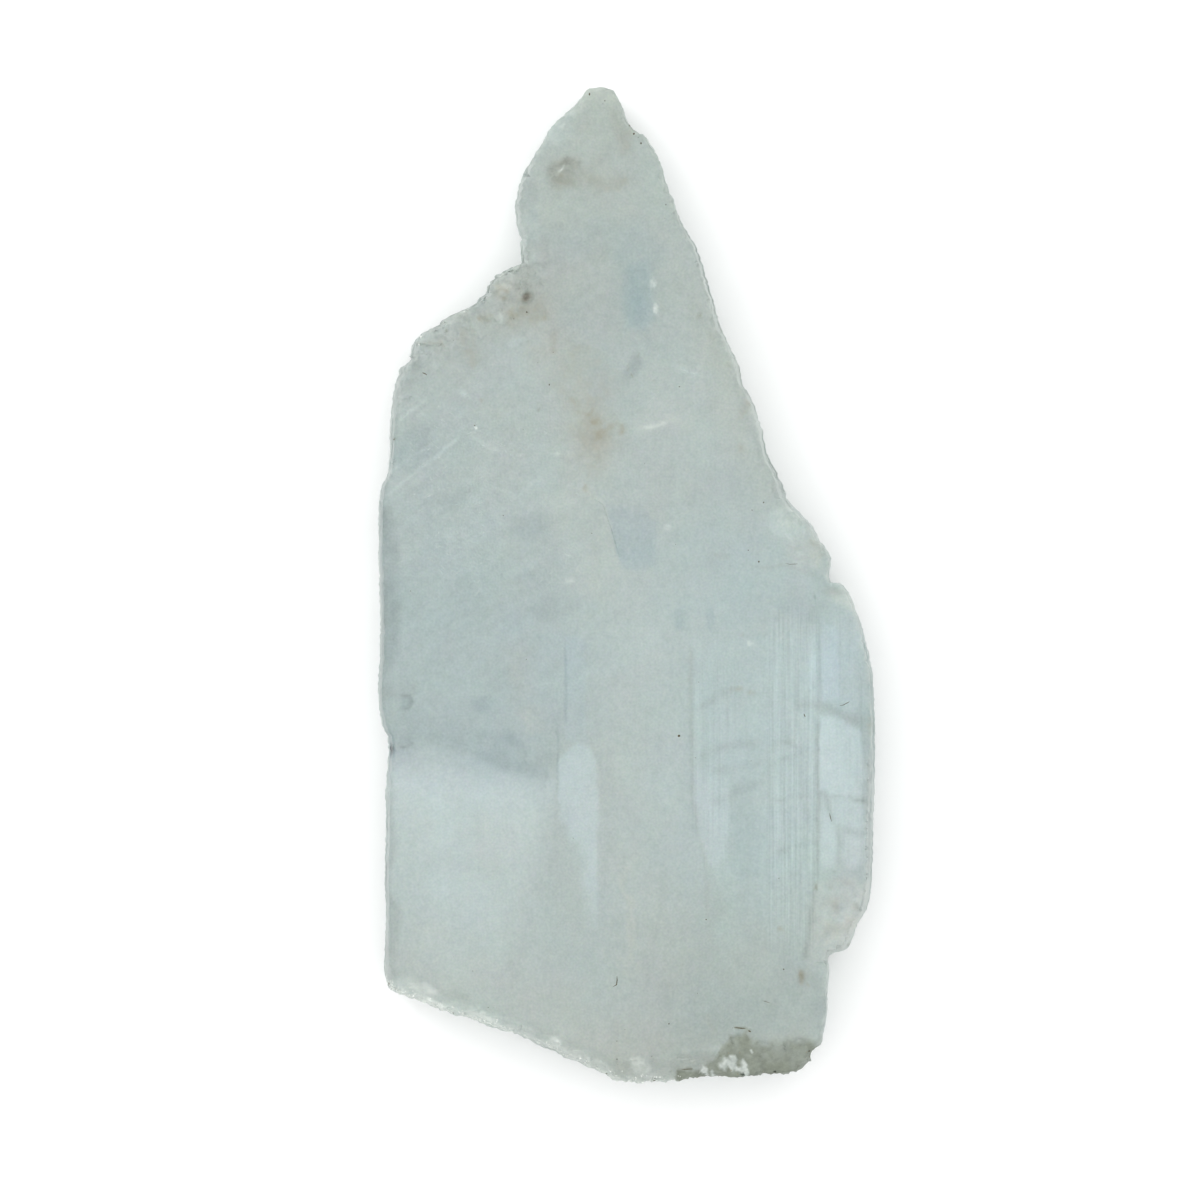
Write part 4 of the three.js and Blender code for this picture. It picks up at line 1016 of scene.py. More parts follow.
# where the crystal is bruised to white powder: middle, half width and half height, turn, amount, crumbs
chalkSpots = [
    ((1.4, -50.2), (1.2, 0.75), -25, 0.4, 0.4), ((4, -51.8), (1.2, 0.6), 0, 0.25, 0.4),
    ((-15.2, -45.4), (2.1, 0.7), -20, 0.58, 0), ((-10, -47.8), (1.6, 0.6), -22, 0.5, 0),
    ((-7.6, -47.9), (0.9, 0.6), -10, 0.6, 0), ((-21.2, -43.4), (2.2, 0.35), -20, 0.9, 0),
    ((-21.4, -42), (1.6, 0.5), -18, 0.35, 0), ((-5.2, -49.4), (0.6, 0.5), -20, 0.6, 0),
    ((3, 16.75), (1.4, 0.25), 14, 0.3, 0), ((2.75, 31.6), (0.34, 0.7), 0, 0.4, 0),
    ((3, 29), (0.3, 0.5), 0, 0.4, 0), ((-7.2, 13.85), (0.3, 0.26), 0, 0.5, 0),
    ((-15.75, 16.5), (0.15, 0.13), 0, 0.7, 0), ((-6, 13.8), (0.5, 0.4), 0, 0.1, 0),
    ((-5.8, 0.5), (0.5, 0.25), 0, 0.25, 0), ((0.9, 10), (0.12, 0.45), -12, 0.25, 0),
    ((4.2, 6.1), (0.35, 0.25), 0, 0.4, 0), ((13.1, -6), (0.5, 0.25), -12, 0.4, 0),
    ((-6.75, 43.8), (0.5, 0.1), 50, 0.7, 0), ((-13.2, 28.1), (0.16, 0.7), 10, 0.3, 0),
    ((-12.9, 31.3), (0.8, 0.35), 0, 0.2, 0), ((-5.3, 49.7), (0.9, 0.4), 40, 0.15, 0),
    ((-6.8, 48.3), (0.8, 0.4), 40, 0.2, 0), ((-7.4, 46.8), (0.5, 0.7), 0, 0.12, 0),
    ((25.2, -8.4), (0.4, 0.25), 0, 0.5, 0), ((19.4, -48.2), (0.4, 0.3), 0, 0.4, 0),
]


def chalkAmount(x, y, z, wallShare, rimGap):
    patchy = 0.5 + 0.5 * plainNoise(x, y, 1.3, 1.3, 81) + 0.35 * plainNoise(x, y, 0.5, 0.5, 82)
    rim = np.exp(-(rimGap / 0.3) ** 2) * 0.35 * (1 - 0.8 * smoothStep(-x, 22, 24))
    crushed = softLine(x, y, crushedRim, 0.8, 0.1) * (0.4 + 0.5 * plainNoise(x, y, 1.4, 1.0, 83))
    torn = np.exp(-(lineFrame(x, y, shoulderRim)[0] / 1.2) ** 2) * 0.22
    front = np.maximum.reduce([rim * (0.55 + 0.5 * patchy), crushed, torn * patchy])
    for at, size, turn, amount, _ in chalkSpots:
        mask = softPatch(x, y, at, size, turn)
        mask = smoothStep(mask + 0.25 * plainNoise(x, y, 0.5, 0.5, 86), 0.25, 0.75)
        front = np.maximum(front, amount * mask * (0.8 + 0.4 * patchy))
    clearer = 0.75 * smoothStep(z, 9.0, 12.0) * smoothStep(-x, 16, 20)   # the left side's upper part
    side = (0.42 + 0.2 * plainNoise(x + z, y - z, 2.2, 2.2, 84)) * (1 - clearer)
    return np.clip(front * (1 - wallShare) + np.maximum(side, front * 0.9) * wallShare, 0, 1)


def markSlab(piece, wall):
    mesh = piece.data
    flat = np.zeros(len(mesh.vertices) * 3)
    mesh.vertices.foreach_get("co", flat)
    x, y, z = flat.reshape(-1, 3).T / mm
    facing = np.zeros(len(x) * 3)
    mesh.vertex_normals.foreach_get("vector", facing)
    wallShare = (1 - smoothStep(facing[2::3], 0.15, 0.45)) * (facing[2::3] > -0.9)
    rimGap = gapsTo(zip(x, y), wall[-1, :, :2])
    front = smoothStep(z, 6.0, 9.0)
    lift, blue, lilac = slabTones(x, y)
    clay, fresh = clayAmount(x, y)
    lowWall = wallShare * (1 - smoothStep(-x, 16, 20) * smoothStep(z, 9.0, 12.0))
    depthFade = front * (1 - 0.6 * lowWall)
    # painted light: the side walls are lightened in colour where they face away from the lamps, more on
    # the right and less on the upper left, which faces the side lamp
    wallPaintedLight = 12 + 6 * smoothStep(x, 0, 8) - 10 * smoothStep(-x, 18, 22)
    wallPaintedLight -= 14 * smoothStep(-x, 22, 24) * smoothStep(z, 8, 10)
    setValues(mesh, "lift", (lift * depthFade + wallPaintedLight * lowWall) / 10)
    setValues(mesh, "lilac", lilac * (0.35 + 0.65 * depthFade) / 10)
    setValues(mesh, "blue", blue * (0.35 + 0.65 * depthFade) / 10)
    setValues(mesh, "rust", stainAmount(x, y, rusts) * depthFade)
    setValues(mesh, "clay", clay * smoothStep(z, 2.0, 9.0))
    chalk = chalkAmount(x, y, z, wallShare, rimGap)
    chalk = np.maximum(chalk, 0.6 * fresh) * (1 - 0.8 * clay)
    setValues(mesh, "chalk", chalk * (0.3 + 0.7 * smoothStep(z, -0.2, 2)))
    striped = smoothStep(x, 14.4, 14.9) * smoothStep(y, -40, -36) * (1 - smoothStep(y, -4, -1))
    plateShare = 1 - smoothStep(x, 19.4, 20.2) * smoothStep(-y, 29, 32)   # its cloudy end has no stripes
    striped *= (1 - 0.65 * smoothStep(x, 19.8, 20.2)) * plateShare
    seam = smoothStep(x, 6.7, 7.2) * (1 - smoothStep(x, 10.5, 12.5)) * smoothStep(y, -32, -27)
    striped = np.maximum(striped, 0.6 * seam * (1 - smoothStep(y, -9, -6)))
    setValues(mesh, "striped", np.maximum(striped, 0.12) * front)
    setValues(mesh, "satin", striped * front * smoothStep(rimGap, 1.2, 2.6))
    hatched = smoothStep(-x, 3, 9) * smoothStep(y, -6, 2) * (1 - smoothStep(y, 18, 24))
    setValues(mesh, "hatched", np.maximum(hatched, 0.1) * front * smoothStep(rimGap, 1.2, 2.2))
    setValues(mesh, "side", wallShare)
    crumbly = np.maximum(softLine(x, y, crushedRim, 1.1, 0.1), 0.45 * fresh)
    crumbly = np.maximum(crumbly, 0.5 * softLine(x, y, shoulderRim, 1.2, 0.1))
    for at, size, _, _, crumbs in chalkSpots:
        crumbly = np.maximum(crumbly, crumbs * softPatch(x, y, at, size))
    setValues(mesh, "crumbly", crumbly * smoothStep(z, 7.5, 9.5))


markSlab(slabPiece, slabWall)
print("stage: tones")

# selenite: glass-clear gypsum that fine fibres and layers make milky; split, never polished, so its face
# is silky rather than glossy; bruised places are white powder
finish = {
    "body": "b7c4c1", "powder": "d6ddd7", "rust": "9e9a82", "clay": "7c8376",
    "roughness": 0.36, "ior": 1.52, "transmission": 0.42,
    "liftGain": 0.1, "redGain": 0.05, "blueGain": 0.035, "greenGain": 0.1,   # what ten eye-steps do
    "grain": (0.24, 0.24, 0.24), "grainGain": 0.2,      # fine milky grain, real grain is finer than this
    "mottle": (0.85, 0.85, 0.85), "mottleGain": 0.24,   # coarser, cloudier grain
    "fleck": 0.07,
    "fibre": (0.2, 9.0, 0.6), "fibreGain": 0.36,        # width, length and depth of the fibres along +Y
    "leaf": (6.0, 6.0, 0.2),                            # thin leaves seen edge on in the sides
    "bumpDepth": 0.06,
}

selenite, tree, shader = newMaterial("split selenite")
place = addNode(tree, "ShaderNodeTexCoord").outputs["Object"]
mark = {}
for name in ("lift", "blue", "lilac", "rust", "clay", "chalk", "striped", "side"):
    mark[name] = addNode(tree, "ShaderNodeAttribute", attribute_name=name).outputs["Fac"]
patterns = {}
kinds = (("grain", 0, 0.5), ("mottle", 2, 0.8), ("fibre", 1, 0.5), ("leaf", 1, 0.5))
for name, detail, roughness in kinds:   # each noise counts in features of its own size
    size = tuple(s * mm for s in finish[name])
    spot = addNode(tree, "ShaderNodeMapping", {"Vector": place, "Scale": size}, vector_type="TEXTURE")
    patterns[name] = addNode(tree, "ShaderNodeTexNoise", {
        "Vector": spot.outputs[0], "Scale": 1.0, "Detail": detail, "Roughness": roughness}).outputs
grain, mottle, fibres, leafLines = [outputs["Fac"] for outputs in patterns.values()]
fibres = addNode(tree, "ShaderNodeMath", [fibres, 0.5], operation="SUBTRACT").outputs[0]
fibres = addNode(tree, "ShaderNodeMath", [fibres, mark["striped"]], operation="MULTIPLY").outputs[0]

tone = addNode(tree, "ShaderNodeMath", [mark["lift"], finish["liftGain"],
                                        1 - 0.5 * (finish["grainGain"] + finish["mottleGain"])],
               operation="MULTIPLY_ADD").outputs[0]
for pattern, gain in ((grain, "grainGain"), (mottle, "mottleGain"), (fibres, "fibreGain")):
    tone = addNode(tree, "ShaderNodeMath", [pattern, finish[gain], tone],
                   operation="MULTIPLY_ADD").outputs[0]
casts = (("blue", -finish["redGain"]), ("lilac", -finish["greenGain"]), ("blue", finish["blueGain"]))
rises = [addNode(tree, "ShaderNodeMath", [mark[name], gain, 1.0],
                 operation="MULTIPLY_ADD").outputs[0] for name, gain in casts]
tint = addNode(tree, "ShaderNodeCombineColor", rises)
for name in ("grain", "mottle"):   # flecks a little warmer or bluer than what lies round them
    half = addNode(tree, "ShaderNodeVectorMath", [patterns[name]["Color"], (0.5, 0.5, 0.5)],
                   operation="SUBTRACT")
    tint = addNode(tree, "ShaderNodeVectorMath", [half.outputs[0], (finish["fleck"],) * 3,
                                                  tint.outputs[0]], operation="MULTIPLY_ADD")
colour = addNode(tree, "ShaderNodeVectorMath", [tint.outputs[0], hexLinear(finish["body"])[:3]],
                 operation="MULTIPLY").outputs[0]
colour = addNode(tree, "ShaderNodeVectorMath", {0: colour, "Scale": tone}, operation="SCALE").outputs[0]
powderNoise = addNode(tree, "ShaderNodeMapRange", {"Value": mottle, "From Min": 0.32, "From Max": 0.62,
                                                   "To Min": 0.35, "To Max": 1.25}).outputs[0]
powder = addNode(tree, "ShaderNodeMath", [mark["chalk"], powderNoise], operation="MULTIPLY",
                 use_clamp=True).outputs[0]
rust = addNode(tree, "ShaderNodeMath", [mark["rust"], powderNoise], operation="MULTIPLY",
               use_clamp=True).outputs[0]
mudTone = addNode(tree, "ShaderNodeMath", [mottle, 0.9, 0.47], operation="MULTIPLY_ADD").outputs[0]
mudColour = addNode(tree, "ShaderNodeVectorMath", {0: hexLinear(finish["clay"])[:3], "Scale": mudTone},
                    operation="SCALE").outputs[0]
for amount, over in ((rust, hexLinear(finish["rust"])), (powder, hexLinear(finish["powder"])),
                     (mark["clay"], mudColour)):
    colour = addNode(tree, "ShaderNodeMix", {0: amount, 6: colour, 7: over}, data_type="RGBA").outputs[2]
tree.links.new(colour, shader.inputs["Base Color"])

dull = addNode(tree, "ShaderNodeMath", [powder, 0.85, mark["clay"]],
               operation="MULTIPLY_ADD").outputs[0]
clear = addNode(tree, "ShaderNodeMath", [1.0, dull], operation="SUBTRACT", use_clamp=True).outputs[0]
clear = addNode(tree, "ShaderNodeMath", [clear, finish["transmission"]], operation="MULTIPLY").outputs[0]
tree.links.new(clear, shader.inputs["Transmission Weight"])
rough = addNode(tree, "ShaderNodeMath", [grain, 0.1, finish["roughness"] - 0.05],
                operation="MULTIPLY_ADD")
rough = addNode(tree, "ShaderNodeMath", [dull, 0.4, rough.outputs[0]], operation="MULTIPLY_ADD",
                use_clamp=True).outputs[0]
tree.links.new(rough, shader.inputs["Roughness"])

sideLines = addNode(tree, "ShaderNodeMath", [leafLines, mark["side"]], operation="MULTIPLY").outputs[0]
height = addNode(tree, "ShaderNodeMath", [grain, 0.35], operation="MULTIPLY").outputs[0]
for pattern, gain in ((fibres, 1.6), (sideLines, 2.6)):
    height = addNode(tree, "ShaderNodeMath", [pattern, gain, height], operation="MULTIPLY_ADD").outputs[0]
bump = addNode(tree, "ShaderNodeBump", {"Height": height, "Strength": 0.5,
                                        "Distance": finish["bumpDepth"] * mm})
tree.links.new(bump.outputs[0], shader.inputs["Normal"])
shader.inputs["IOR"].default_value = finish["ior"]
volume = addNode(tree, "ShaderNodeVolumeAbsorption", {"Density": 30.0})
volume.inputs["Color"].default_value = hexLinear("c8e0dc")
tree.links.new(volume.outputs[0], tree.nodes["Material Output"].inputs["Volume"])
slabPiece.data.materials.append(selenite)


def plainMaterial(name, code, roughness, spread, size, alpha=1.0):   # lighter and darker in grains
    material, tree, shader = newMaterial(name)
    place = addNode(tree, "ShaderNodeTexCoord").outputs["Object"]
    spot = addNode(tree, "ShaderNodeMapping", {"Vector": place, "Scale": tuple(s * mm for s in size)},
                   vector_type="TEXTURE")
    noise = addNode(tree, "ShaderNodeTexNoise", {"Vector": spot.outputs[0], "Scale": 1.0}).outputs["Fac"]
    tone = addNode(tree, "ShaderNodeMath", [noise, spread, 1 - spread / 2], operation="MULTIPLY_ADD")
    colour = addNode(tree, "ShaderNodeVectorMath", {0: hexLinear(code)[:3], "Scale": tone.outputs[0]},
                     operation="SCALE")
    tree.links.new(colour.outputs[0], shader.inputs["Base Color"])
    shader.inputs["Roughness"].default_value = roughness
    shader.inputs["Alpha"].default_value = alpha
    return material


# white, matt powder; the burr of a scuffed face; silky white threads; dirt
crushedGypsum = plainMaterial("crushed gypsum", "dde2dc", 0.8, 0.3, (0.3, 0.3, 0.3))
scratchBurr = plainMaterial("scratch burr", "b8c3bf", 0.6, 0.2, (0.3, 0.3, 0.3))
fibreGypsum = plainMaterial("satin fibre", "eef5f4", 0.35, 0.2, (0.4, 3.0, 0.4), 0.5)
darkDust = plainMaterial("dark mineral dust", "55503f", 0.85, 0.5, (0.1, 0.1, 0.1))
dryMud = plainMaterial("dry mud", "8e8a78", 0.9, 0.4, (0.3, 0.3, 0.3))

# a cleavage veil: a film of air between two leaves that have parted, silvery and streaked
airFilm, tree, shader = newMaterial("air film in a cleavage")
place = addNode(tree, "ShaderNodeTexCoord").outputs["Object"]
film = addNode(tree, "ShaderNodeAttribute", attribute_name="film").outputs["Fac"]
spot = addNode(tree, "ShaderNodeMapping", {"Vector": place, "Scale": (0.35 * mm, 7.0 * mm, 2.0 * mm)},
               vector_type="TEXTURE")
streaks = addNode(tree, "ShaderNodeTexNoise", {"Vector": spot.outputs[0], "Scale": 1.0,
                                               "Detail": 3.0}).outputs["Fac"]
streaks = addNode(tree, "ShaderNodeMapRange", {"Value": streaks, "From Min": 0.3, "From Max": 0.75,
                                               "To Min": 0.45, "To Max": 1.5}).outputs[0]
opacity = addNode(tree, "ShaderNodeMath", [film, streaks], operation="MULTIPLY", use_clamp=True)
tree.links.new(opacity.outputs[0], shader.inputs["Alpha"])
shader.inputs["Base Color"].default_value = hexLinear("f3fafa")
shader.inputs["Roughness"].default_value = 0.3

# veils, sealed in the slab: name, how far it lies below the front face, how dense it is at most, outline
veils = [
    ("window", 1.7, 0.3, [(-24.6, -17.6), (-20, -16.9), (-17.5, -17.6), (-15, -18.4), (-12.5, -19.4),
     (-8.2, -20.5), (-7.9, -27), (-8.6, -40), (-17, -42), (-24.4, -39)]),
    ("tongue", 0.9, 0.3, [(-7, -21), (-7, -18), (-6.1, -17.1), (-5.1, -16.7), (-4, -17), (-3.3, -18.2),
     (-3.15, -22), (-3.1, -34), (-4.3, -34), (-5.5, -28), (-6.5, -23)]),
    ("wedge", 1.1, 0.3, [(7.3, -19.6), (7.8, -26.6), (8.6, -30), (9.5, -31), (11, -26), (11.3, -20)]),
    ("striped strip", 1, 0.22, [(15, -3.6), (18.2, -3.4), (19.2, -8), (19.1, -30), (17.6, -34),
     (15, -31)]),
    ("lobe", 1.1, 0.3, [(20.4, -13.6), (22, -14), (24.5, -15.4), (24.6, -22.5), (24.2, -29),
     (20.4, -30)]),
    ("deep, left", 5.2, 0.3, [(-22, -12), (-10, -17), (-4, -30), (-8, -44), (-22, -40)]),
    ("deep, middle", 4.4, 0.25, [(-6, 20), (6, 15), (10, -6), (4, -26), (-8, -10)]),
    ("deep, right", 6.4, 0.3, [(10, -8), (22, -8), (23, -30), (14, -44), (6, -34)]),
    ("deepest", 9.2, 0.25, [(-16, 20), (-4, 26), (6, 10), (2, -36), (-16, -30), (-22, -4)]),
]
veilMake = {"thick": 0.03, "step": 0.8, "edgeStep": 0.45, "wave": 0.06, "fade": 1.1}


def evenRing(ring, step):   # a veil's outline with its corners rounded and a little shaken
    points = evenSteps(ring, lambda size: max(int(size / step), 8), closed=True)[0]
    points = np.stack([roundSmooth(points[:, 0], 2), roundSmooth(points[:, 1], 2)], 1)
    jitter = [0.16 * plainNoise(points[:, 0], points[:, 1], 0.8, 0.8, 90 + k) for k in (0, 1)]
    return points + np.stack(jitter, 1)


def makeVeils():
    points, faces, films = [], [], []
    for k, (_, depth, fog, ring) in enumerate(veils):
        ring = evenRing(ring, veilMake["edgeStep"])
        if (ring[:, 0] * np.roll(ring[:, 1], -1) - np.roll(ring[:, 0], -1) * ring[:, 1]).sum() < 0:
            ring = ring[::-1]
        sheet, triangles = triangulate(ring, [], innerPoints(ring, veilMake["step"], [], 100 + k))
        x, y = sheet.T
        front = np.array([frontHeight(px, py) for px, py in sheet])
        wave = veilMake["wave"] * plainNoise(x, y, 4, 9, 110 + k) * (1 + depth)
        top = front - depth + wave
        gap = lineFrame(x, y, [*ring, ring[0]])[0]
        patchy = 0.75 + 0.35 * plainNoise(x, y, 2.6, 7.0, 120 + k)
        film = fog * patchy * (0.25 + 0.75 * smoothStep(gap, 0, veilMake["fade"]))
        first, count = len(points), len(sheet)
        points += [(px, py, pz) for px, py, pz in zip(x, y, top)]
        points += [(px, py, pz - veilMake["thick"]) for px, py, pz in zip(x, y, top)]
        films += [film, film]
        faces += [[first + i for i in t] for t in triangles]
        faces += [[first + count + i for i in reversed(t)] for t in triangles]
        for i in range(len(ring)):
            j = (i + 1) % len(ring)
            faces.append((first + j, first + i, first + count + i, first + count + j))
    mesh = newMesh("cleavageVeils", points, faces)
    mesh.shade_smooth()
    setValues(mesh, "film", np.concatenate(films))
    return newPiece("cleavageVeils", mesh, airFilm)


makeVeils()
print("stage: veils")

slabFaces = BVHTree.FromPolygons([v.co for v in slabPiece.data.vertices],
                                 [p.vertices[:] for p in slabPiece.data.polygons])

# thin scratches whose burr shows pale
scratches = [
    [(-22.4, 11.9), (-20.4, 13.4)], [(-15.9, 15.1), (-14.3, 14.3)], [(-24, 17.2), (-22.6, 18.3)],
    [(4.2, 22.95), (6.1, 22.5), (8.4, 21.9)], [(1.2, 17.9), (3.6, 20.4)], [(-2.4, 33.6), (-0.2, 33.2)],
]
scratchMake = {"radius": 0.018, "sides": 4, "step": 0.5, "wander": 0.03}

# dark hairs and splinters of dirt: bent line, radius
hairs = [
    ([(22.25, -12.55), (22.6, -12.5), (22.9, -12.35), (23.3, -12.15)], 0.035),
    ([(21.17, -23.8), (21.3, -24.3), (21.42, -24.65)], 0.045), ([(18.5, -13.4), (18.65, -13.75)], 0.05),
    ([(-1.03, -40.8), (-1.02, -41.5), (-1.12, -41.85), (-1.45, -41.95)], 0.06),
    ([(11.2, -46.15), (11.8, -46.25), (12.4, -46.3)], 0.06), ([(12.7, -46.5), (13, -46.65)], 0.08),
    ([(5.7, -50.65), (6.4, -50.6), (6.9, -50.55)], 0.05),
    ([(-21.4, 22.3), (-21.1, 22.2), (-20.9, 22.05)], 0.06),
    ([(16.6, 2.35), (17.1, 2.2), (17.9, 2.3)], 0.025), ([(14.2, -43.4), (15, -43.65)], 0.025),
]

# specks of dark grit in the face: place and radius
specks = [
    ((-3.9, 51.6), 0.14), ((-2.3, 50.9), 0.09), ((-2.5, 50.6), 0.06), ((0.3, 48.3), 0.13),
    ((0.75, 47.4), 0.12), ((1.5, 46.4), 0.13), ((1.2, 47), 0.07), ((4.1, 39.9), 0.09), ((4, 38.5), 0.06),
    ((-8.1, 21), 0.11), ((5.5, 20.8), 0.09), ((-9.3, 23.3), 0.06), ((-24.35, 15.3), 0.12),
    ((-15.9, 16.75), 0.09), ((13.8, 2.5), 0.1), ((13.1, 7.9), 0.07), ((14.3, 8.7), 0.08),
    ((12.7, 3.7), 0.08), ((5.1, 4.3), 0.06), ((5.46, -15.7), 0.14), ((8.3, -34.9), 0.1),
    ((16.4, -40.1), 0.1), ((-1.03, -47.6), 0.07), ((-1.03, -49.5), 0.08), ((-1, -48.6), 0.04),
    ((-0.95, -50.1), 0.05), ((-2.1, -51.2), 0.14), ((2.9, -51.9), 0.16), ((19.1, -48.7), 0.17),
    ((-24.9, -41.7), 0.14), ((-18.2, -44.9), 0.1), ((-16.1, -40.3), 0.07), ((-14.5, -44.1), 0.08),
    ((4.4, -45.8), 0.09), ((7.4, -42.6), 0.06), ((2.6, -49.2), 0.07), ((-0.2, -46.4), 0.05),
    ((-3.4, -33), 0.04), ((-0.4, -29.6), 0.04), ((7.2, -18), 0.06), ((11.4, -17.9), 0.04),
    ((-5.6, -26.4), 0.06), ((-13.4, 31.9), 0.06), ((-11.8, 27.9), 0.08), ((-10.45, 28.6), 0.1),
    ((-7.7, 24.4), 0.07), ((24.4, -33.6), 0.06), ((-23.9, -29.9), 0.04), ((15.9, -30.6), 0.06),
]
speckMake = {"squash": 0.5, "stretch": 0.35, "seed": 12}


def speckMesh():   # one low, knobbly grain at each place
    rng = np.random.default_rng(speckMake["seed"])
    shell = bmesh.new()
    for (x, y), radius in specks:
        made = bmesh.ops.create_icosphere(shell, subdivisions=1, radius=(radius - 0.02) * mm)["verts"]
        stretch = 1 + speckMake["stretch"] * rng.uniform(-1, 1, 2)
        middle = Vector((x * mm, y * mm, frontHeight(x, y, slabFaces) * mm))
        for vert in made:
            vert.co *= rng.uniform(0.8, 1.2)
            vert.co = middle + Vector((vert.co.x * stretch[0], vert.co.y * stretch[1],
                                       vert.co.z * speckMake["squash"]))
    mesh = bpy.data.meshes.new("grit")
    shell.to_mesh(mesh)
    shell.free()
    return mesh


def threadMesh(name, threads):   # thin tapered threads that lie in the front face, as one mesh
    points, faces = [], []
    for k, (line, radius) in enumerate(threads):
        path = evenSteps(line, lambda size: max(int(size / scratchMake["step"]), 3) + 1)[0]
        wander = [plainNoise(path[:, 0], path[:, 1], 0.7, 0.7, seed + k) for seed in (130, 160)]
        path += scratchMake["wander"] * np.stack(wander, 1)
        along = pathHeading(path)
        first, sides = len(points), scratchMake["sides"]
        for i, (x, y) in enumerate(path):
            thick = radius * (0.25 + 0.75 * abs(math.sin(math.pi * i / (len(path) - 1))) ** 0.5)
            z = frontHeight(x, y, slabFaces)
            for s in range(sides):
                turn = 2 * math.pi * s / sides
                across = thick * math.cos(turn)
                points.append((x - along[i, 1] * across, y + along[i, 0] * across,
                               z + 0.6 * thick * math.sin(turn)))
        for i in range(len(path) - 1):
            for s in range(sides):
                a, b = first + i * sides + s, first + i * sides + (s + 1) % sides
                faces.append((a, a + sides, b + sides, b))
        faces.append([first + s for s in range(sides)])
        faces.append([first + (len(path) - 1) * sides + s for s in reversed(range(sides))])
    mesh = newMesh(name, points, faces)
    shell = bmesh.new()
    shell.from_mesh(mesh)
    bmesh.ops.recalc_face_normals(shell, faces=shell.faces[:])
    shell.to_mesh(mesh)
    shell.free()
    return mesh


newPiece("scratches", threadMesh("scratches", [(line, scratchMake["radius"]) for line in scratches]),
         scratchBurr)
newPiece("darkHairs", threadMesh("darkHairs", hairs), darkDust)
newPiece("grit", speckMesh(), darkDust)
print("stage: scratches and hairs")


def scatterTree(name, shape):   # grains spread over a mesh where one of its attributes is high
    tree = bpy.data.node_groups.new(name, "GeometryNodeTree")
    sockets = {"Geometry": "Geometry", "Where": "String", "From": "Float", "Density": "Float",
               "Smallest": "Vector", "Largest": "Vector", "Turn low": "Vector", "Turn high": "Vector",
               "Sink low": "Float", "Sink high": "Float", "Seed": "Int", "Material": "Material"}
    for label, kind in sockets.items():
        tree.interface.new_socket(name=label, in_out="INPUT", socket_type="NodeSocket" + kind)
    tree.interface.new_socket(name="Geometry", in_out="OUTPUT", socket_type="NodeSocketGeometry")
    given = addNode(tree, "NodeGroupInput").outputs
    where = addNode(tree, "GeometryNodeInputNamedAttribute", {"Name": given["Where"]}, data_type="FLOAT")
    over = addNode(tree, "ShaderNodeMath", [where.outputs["Attribute"], given["From"]],
                   operation="SUBTRACT", use_clamp=True)
    density = addNode(tree, "ShaderNodeMath", [over.outputs[0], given["Density"]], operation="MULTIPLY")
    spread = addNode(tree, "GeometryNodeDistributePointsOnFaces",
                     {"Mesh": given["Geometry"], "Density": density.outputs[0], "Seed": given["Seed"]})
    sink = addNode(tree, "FunctionNodeRandomValue", {2: given["Sink low"], 3: given["Sink high"],
                                                     "Seed": 1}, data_type="FLOAT")
    down = addNode(tree, "ShaderNodeMath", [sink.outputs[1], -1.0], operation="MULTIPLY")
    offset = addNode(tree, "ShaderNodeCombineXYZ", {"Z": down.outputs[0]})
    sunk = addNode(tree, "GeometryNodeSetPosition", {"Geometry": spread.outputs["Points"],
                                                     "Offset": offset.outputs[0]})
    size = addNode(tree, "FunctionNodeRandomValue", {0: given["Smallest"], 1: given["Largest"],
                                                     "Seed": 2}, data_type="FLOAT_VECTOR")
    turn = addNode(tree, "FunctionNodeRandomValue", {0: given["Turn low"], 1: given["Turn high"],
                                                     "Seed": 3}, data_type="FLOAT_VECTOR")
    turned = addNode(tree, "FunctionNodeEulerToRotation", {"Euler": turn.outputs[0]})
    grains = addNode(tree, "GeometryNodeInstanceOnPoints", {"Points": sunk.outputs[0],
                                                            "Instance": grainShape(tree, shape),
                                                            "Rotation": turned.outputs[0],
                                                            "Scale": size.outputs[0]})
    real = addNode(tree, "GeometryNodeRealizeInstances", {"Geometry": grains.outputs[0]})
    done = addNode(tree, "GeometryNodeSetMaterial", {"Geometry": real.outputs[0],
                                                     "Material": given["Material"]})
    addNode(tree, "NodeGroupOutput", {"Geometry": done.outputs[0]})
    return tree


def grainShape(tree, shape):   # one knobbly grain, or one thin five-sided flake
    if shape == "flake":
        return addNode(tree, "GeometryNodeMeshCylinder", {"Vertices": 5, "Radius": 1.0,
                                                          "Depth": 2.0}).outputs["Mesh"]
    ball = addNode(tree, "GeometryNodeMeshIcoSphere", {"Radius": 1.0, "Subdivisions": 1})
    if shape == "thread":
        return ball.outputs["Mesh"]
    knob = addNode(tree, "FunctionNodeRandomValue", {0: (-0.3, -0.3, -0.3), 1: (0.3, 0.3, 0.3),
                                                     "Seed": 4}, data_type="FLOAT_VECTOR")
    return addNode(tree, "GeometryNodeSetPosition", {"Geometry": ball.outputs["Mesh"],
                                                     "Offset": knob.outputs[0]}).outputs[0]


scatterTrees = {shape: scatterTree("scatter " + shape, shape) for shape in ("grain", "thread", "flake")}

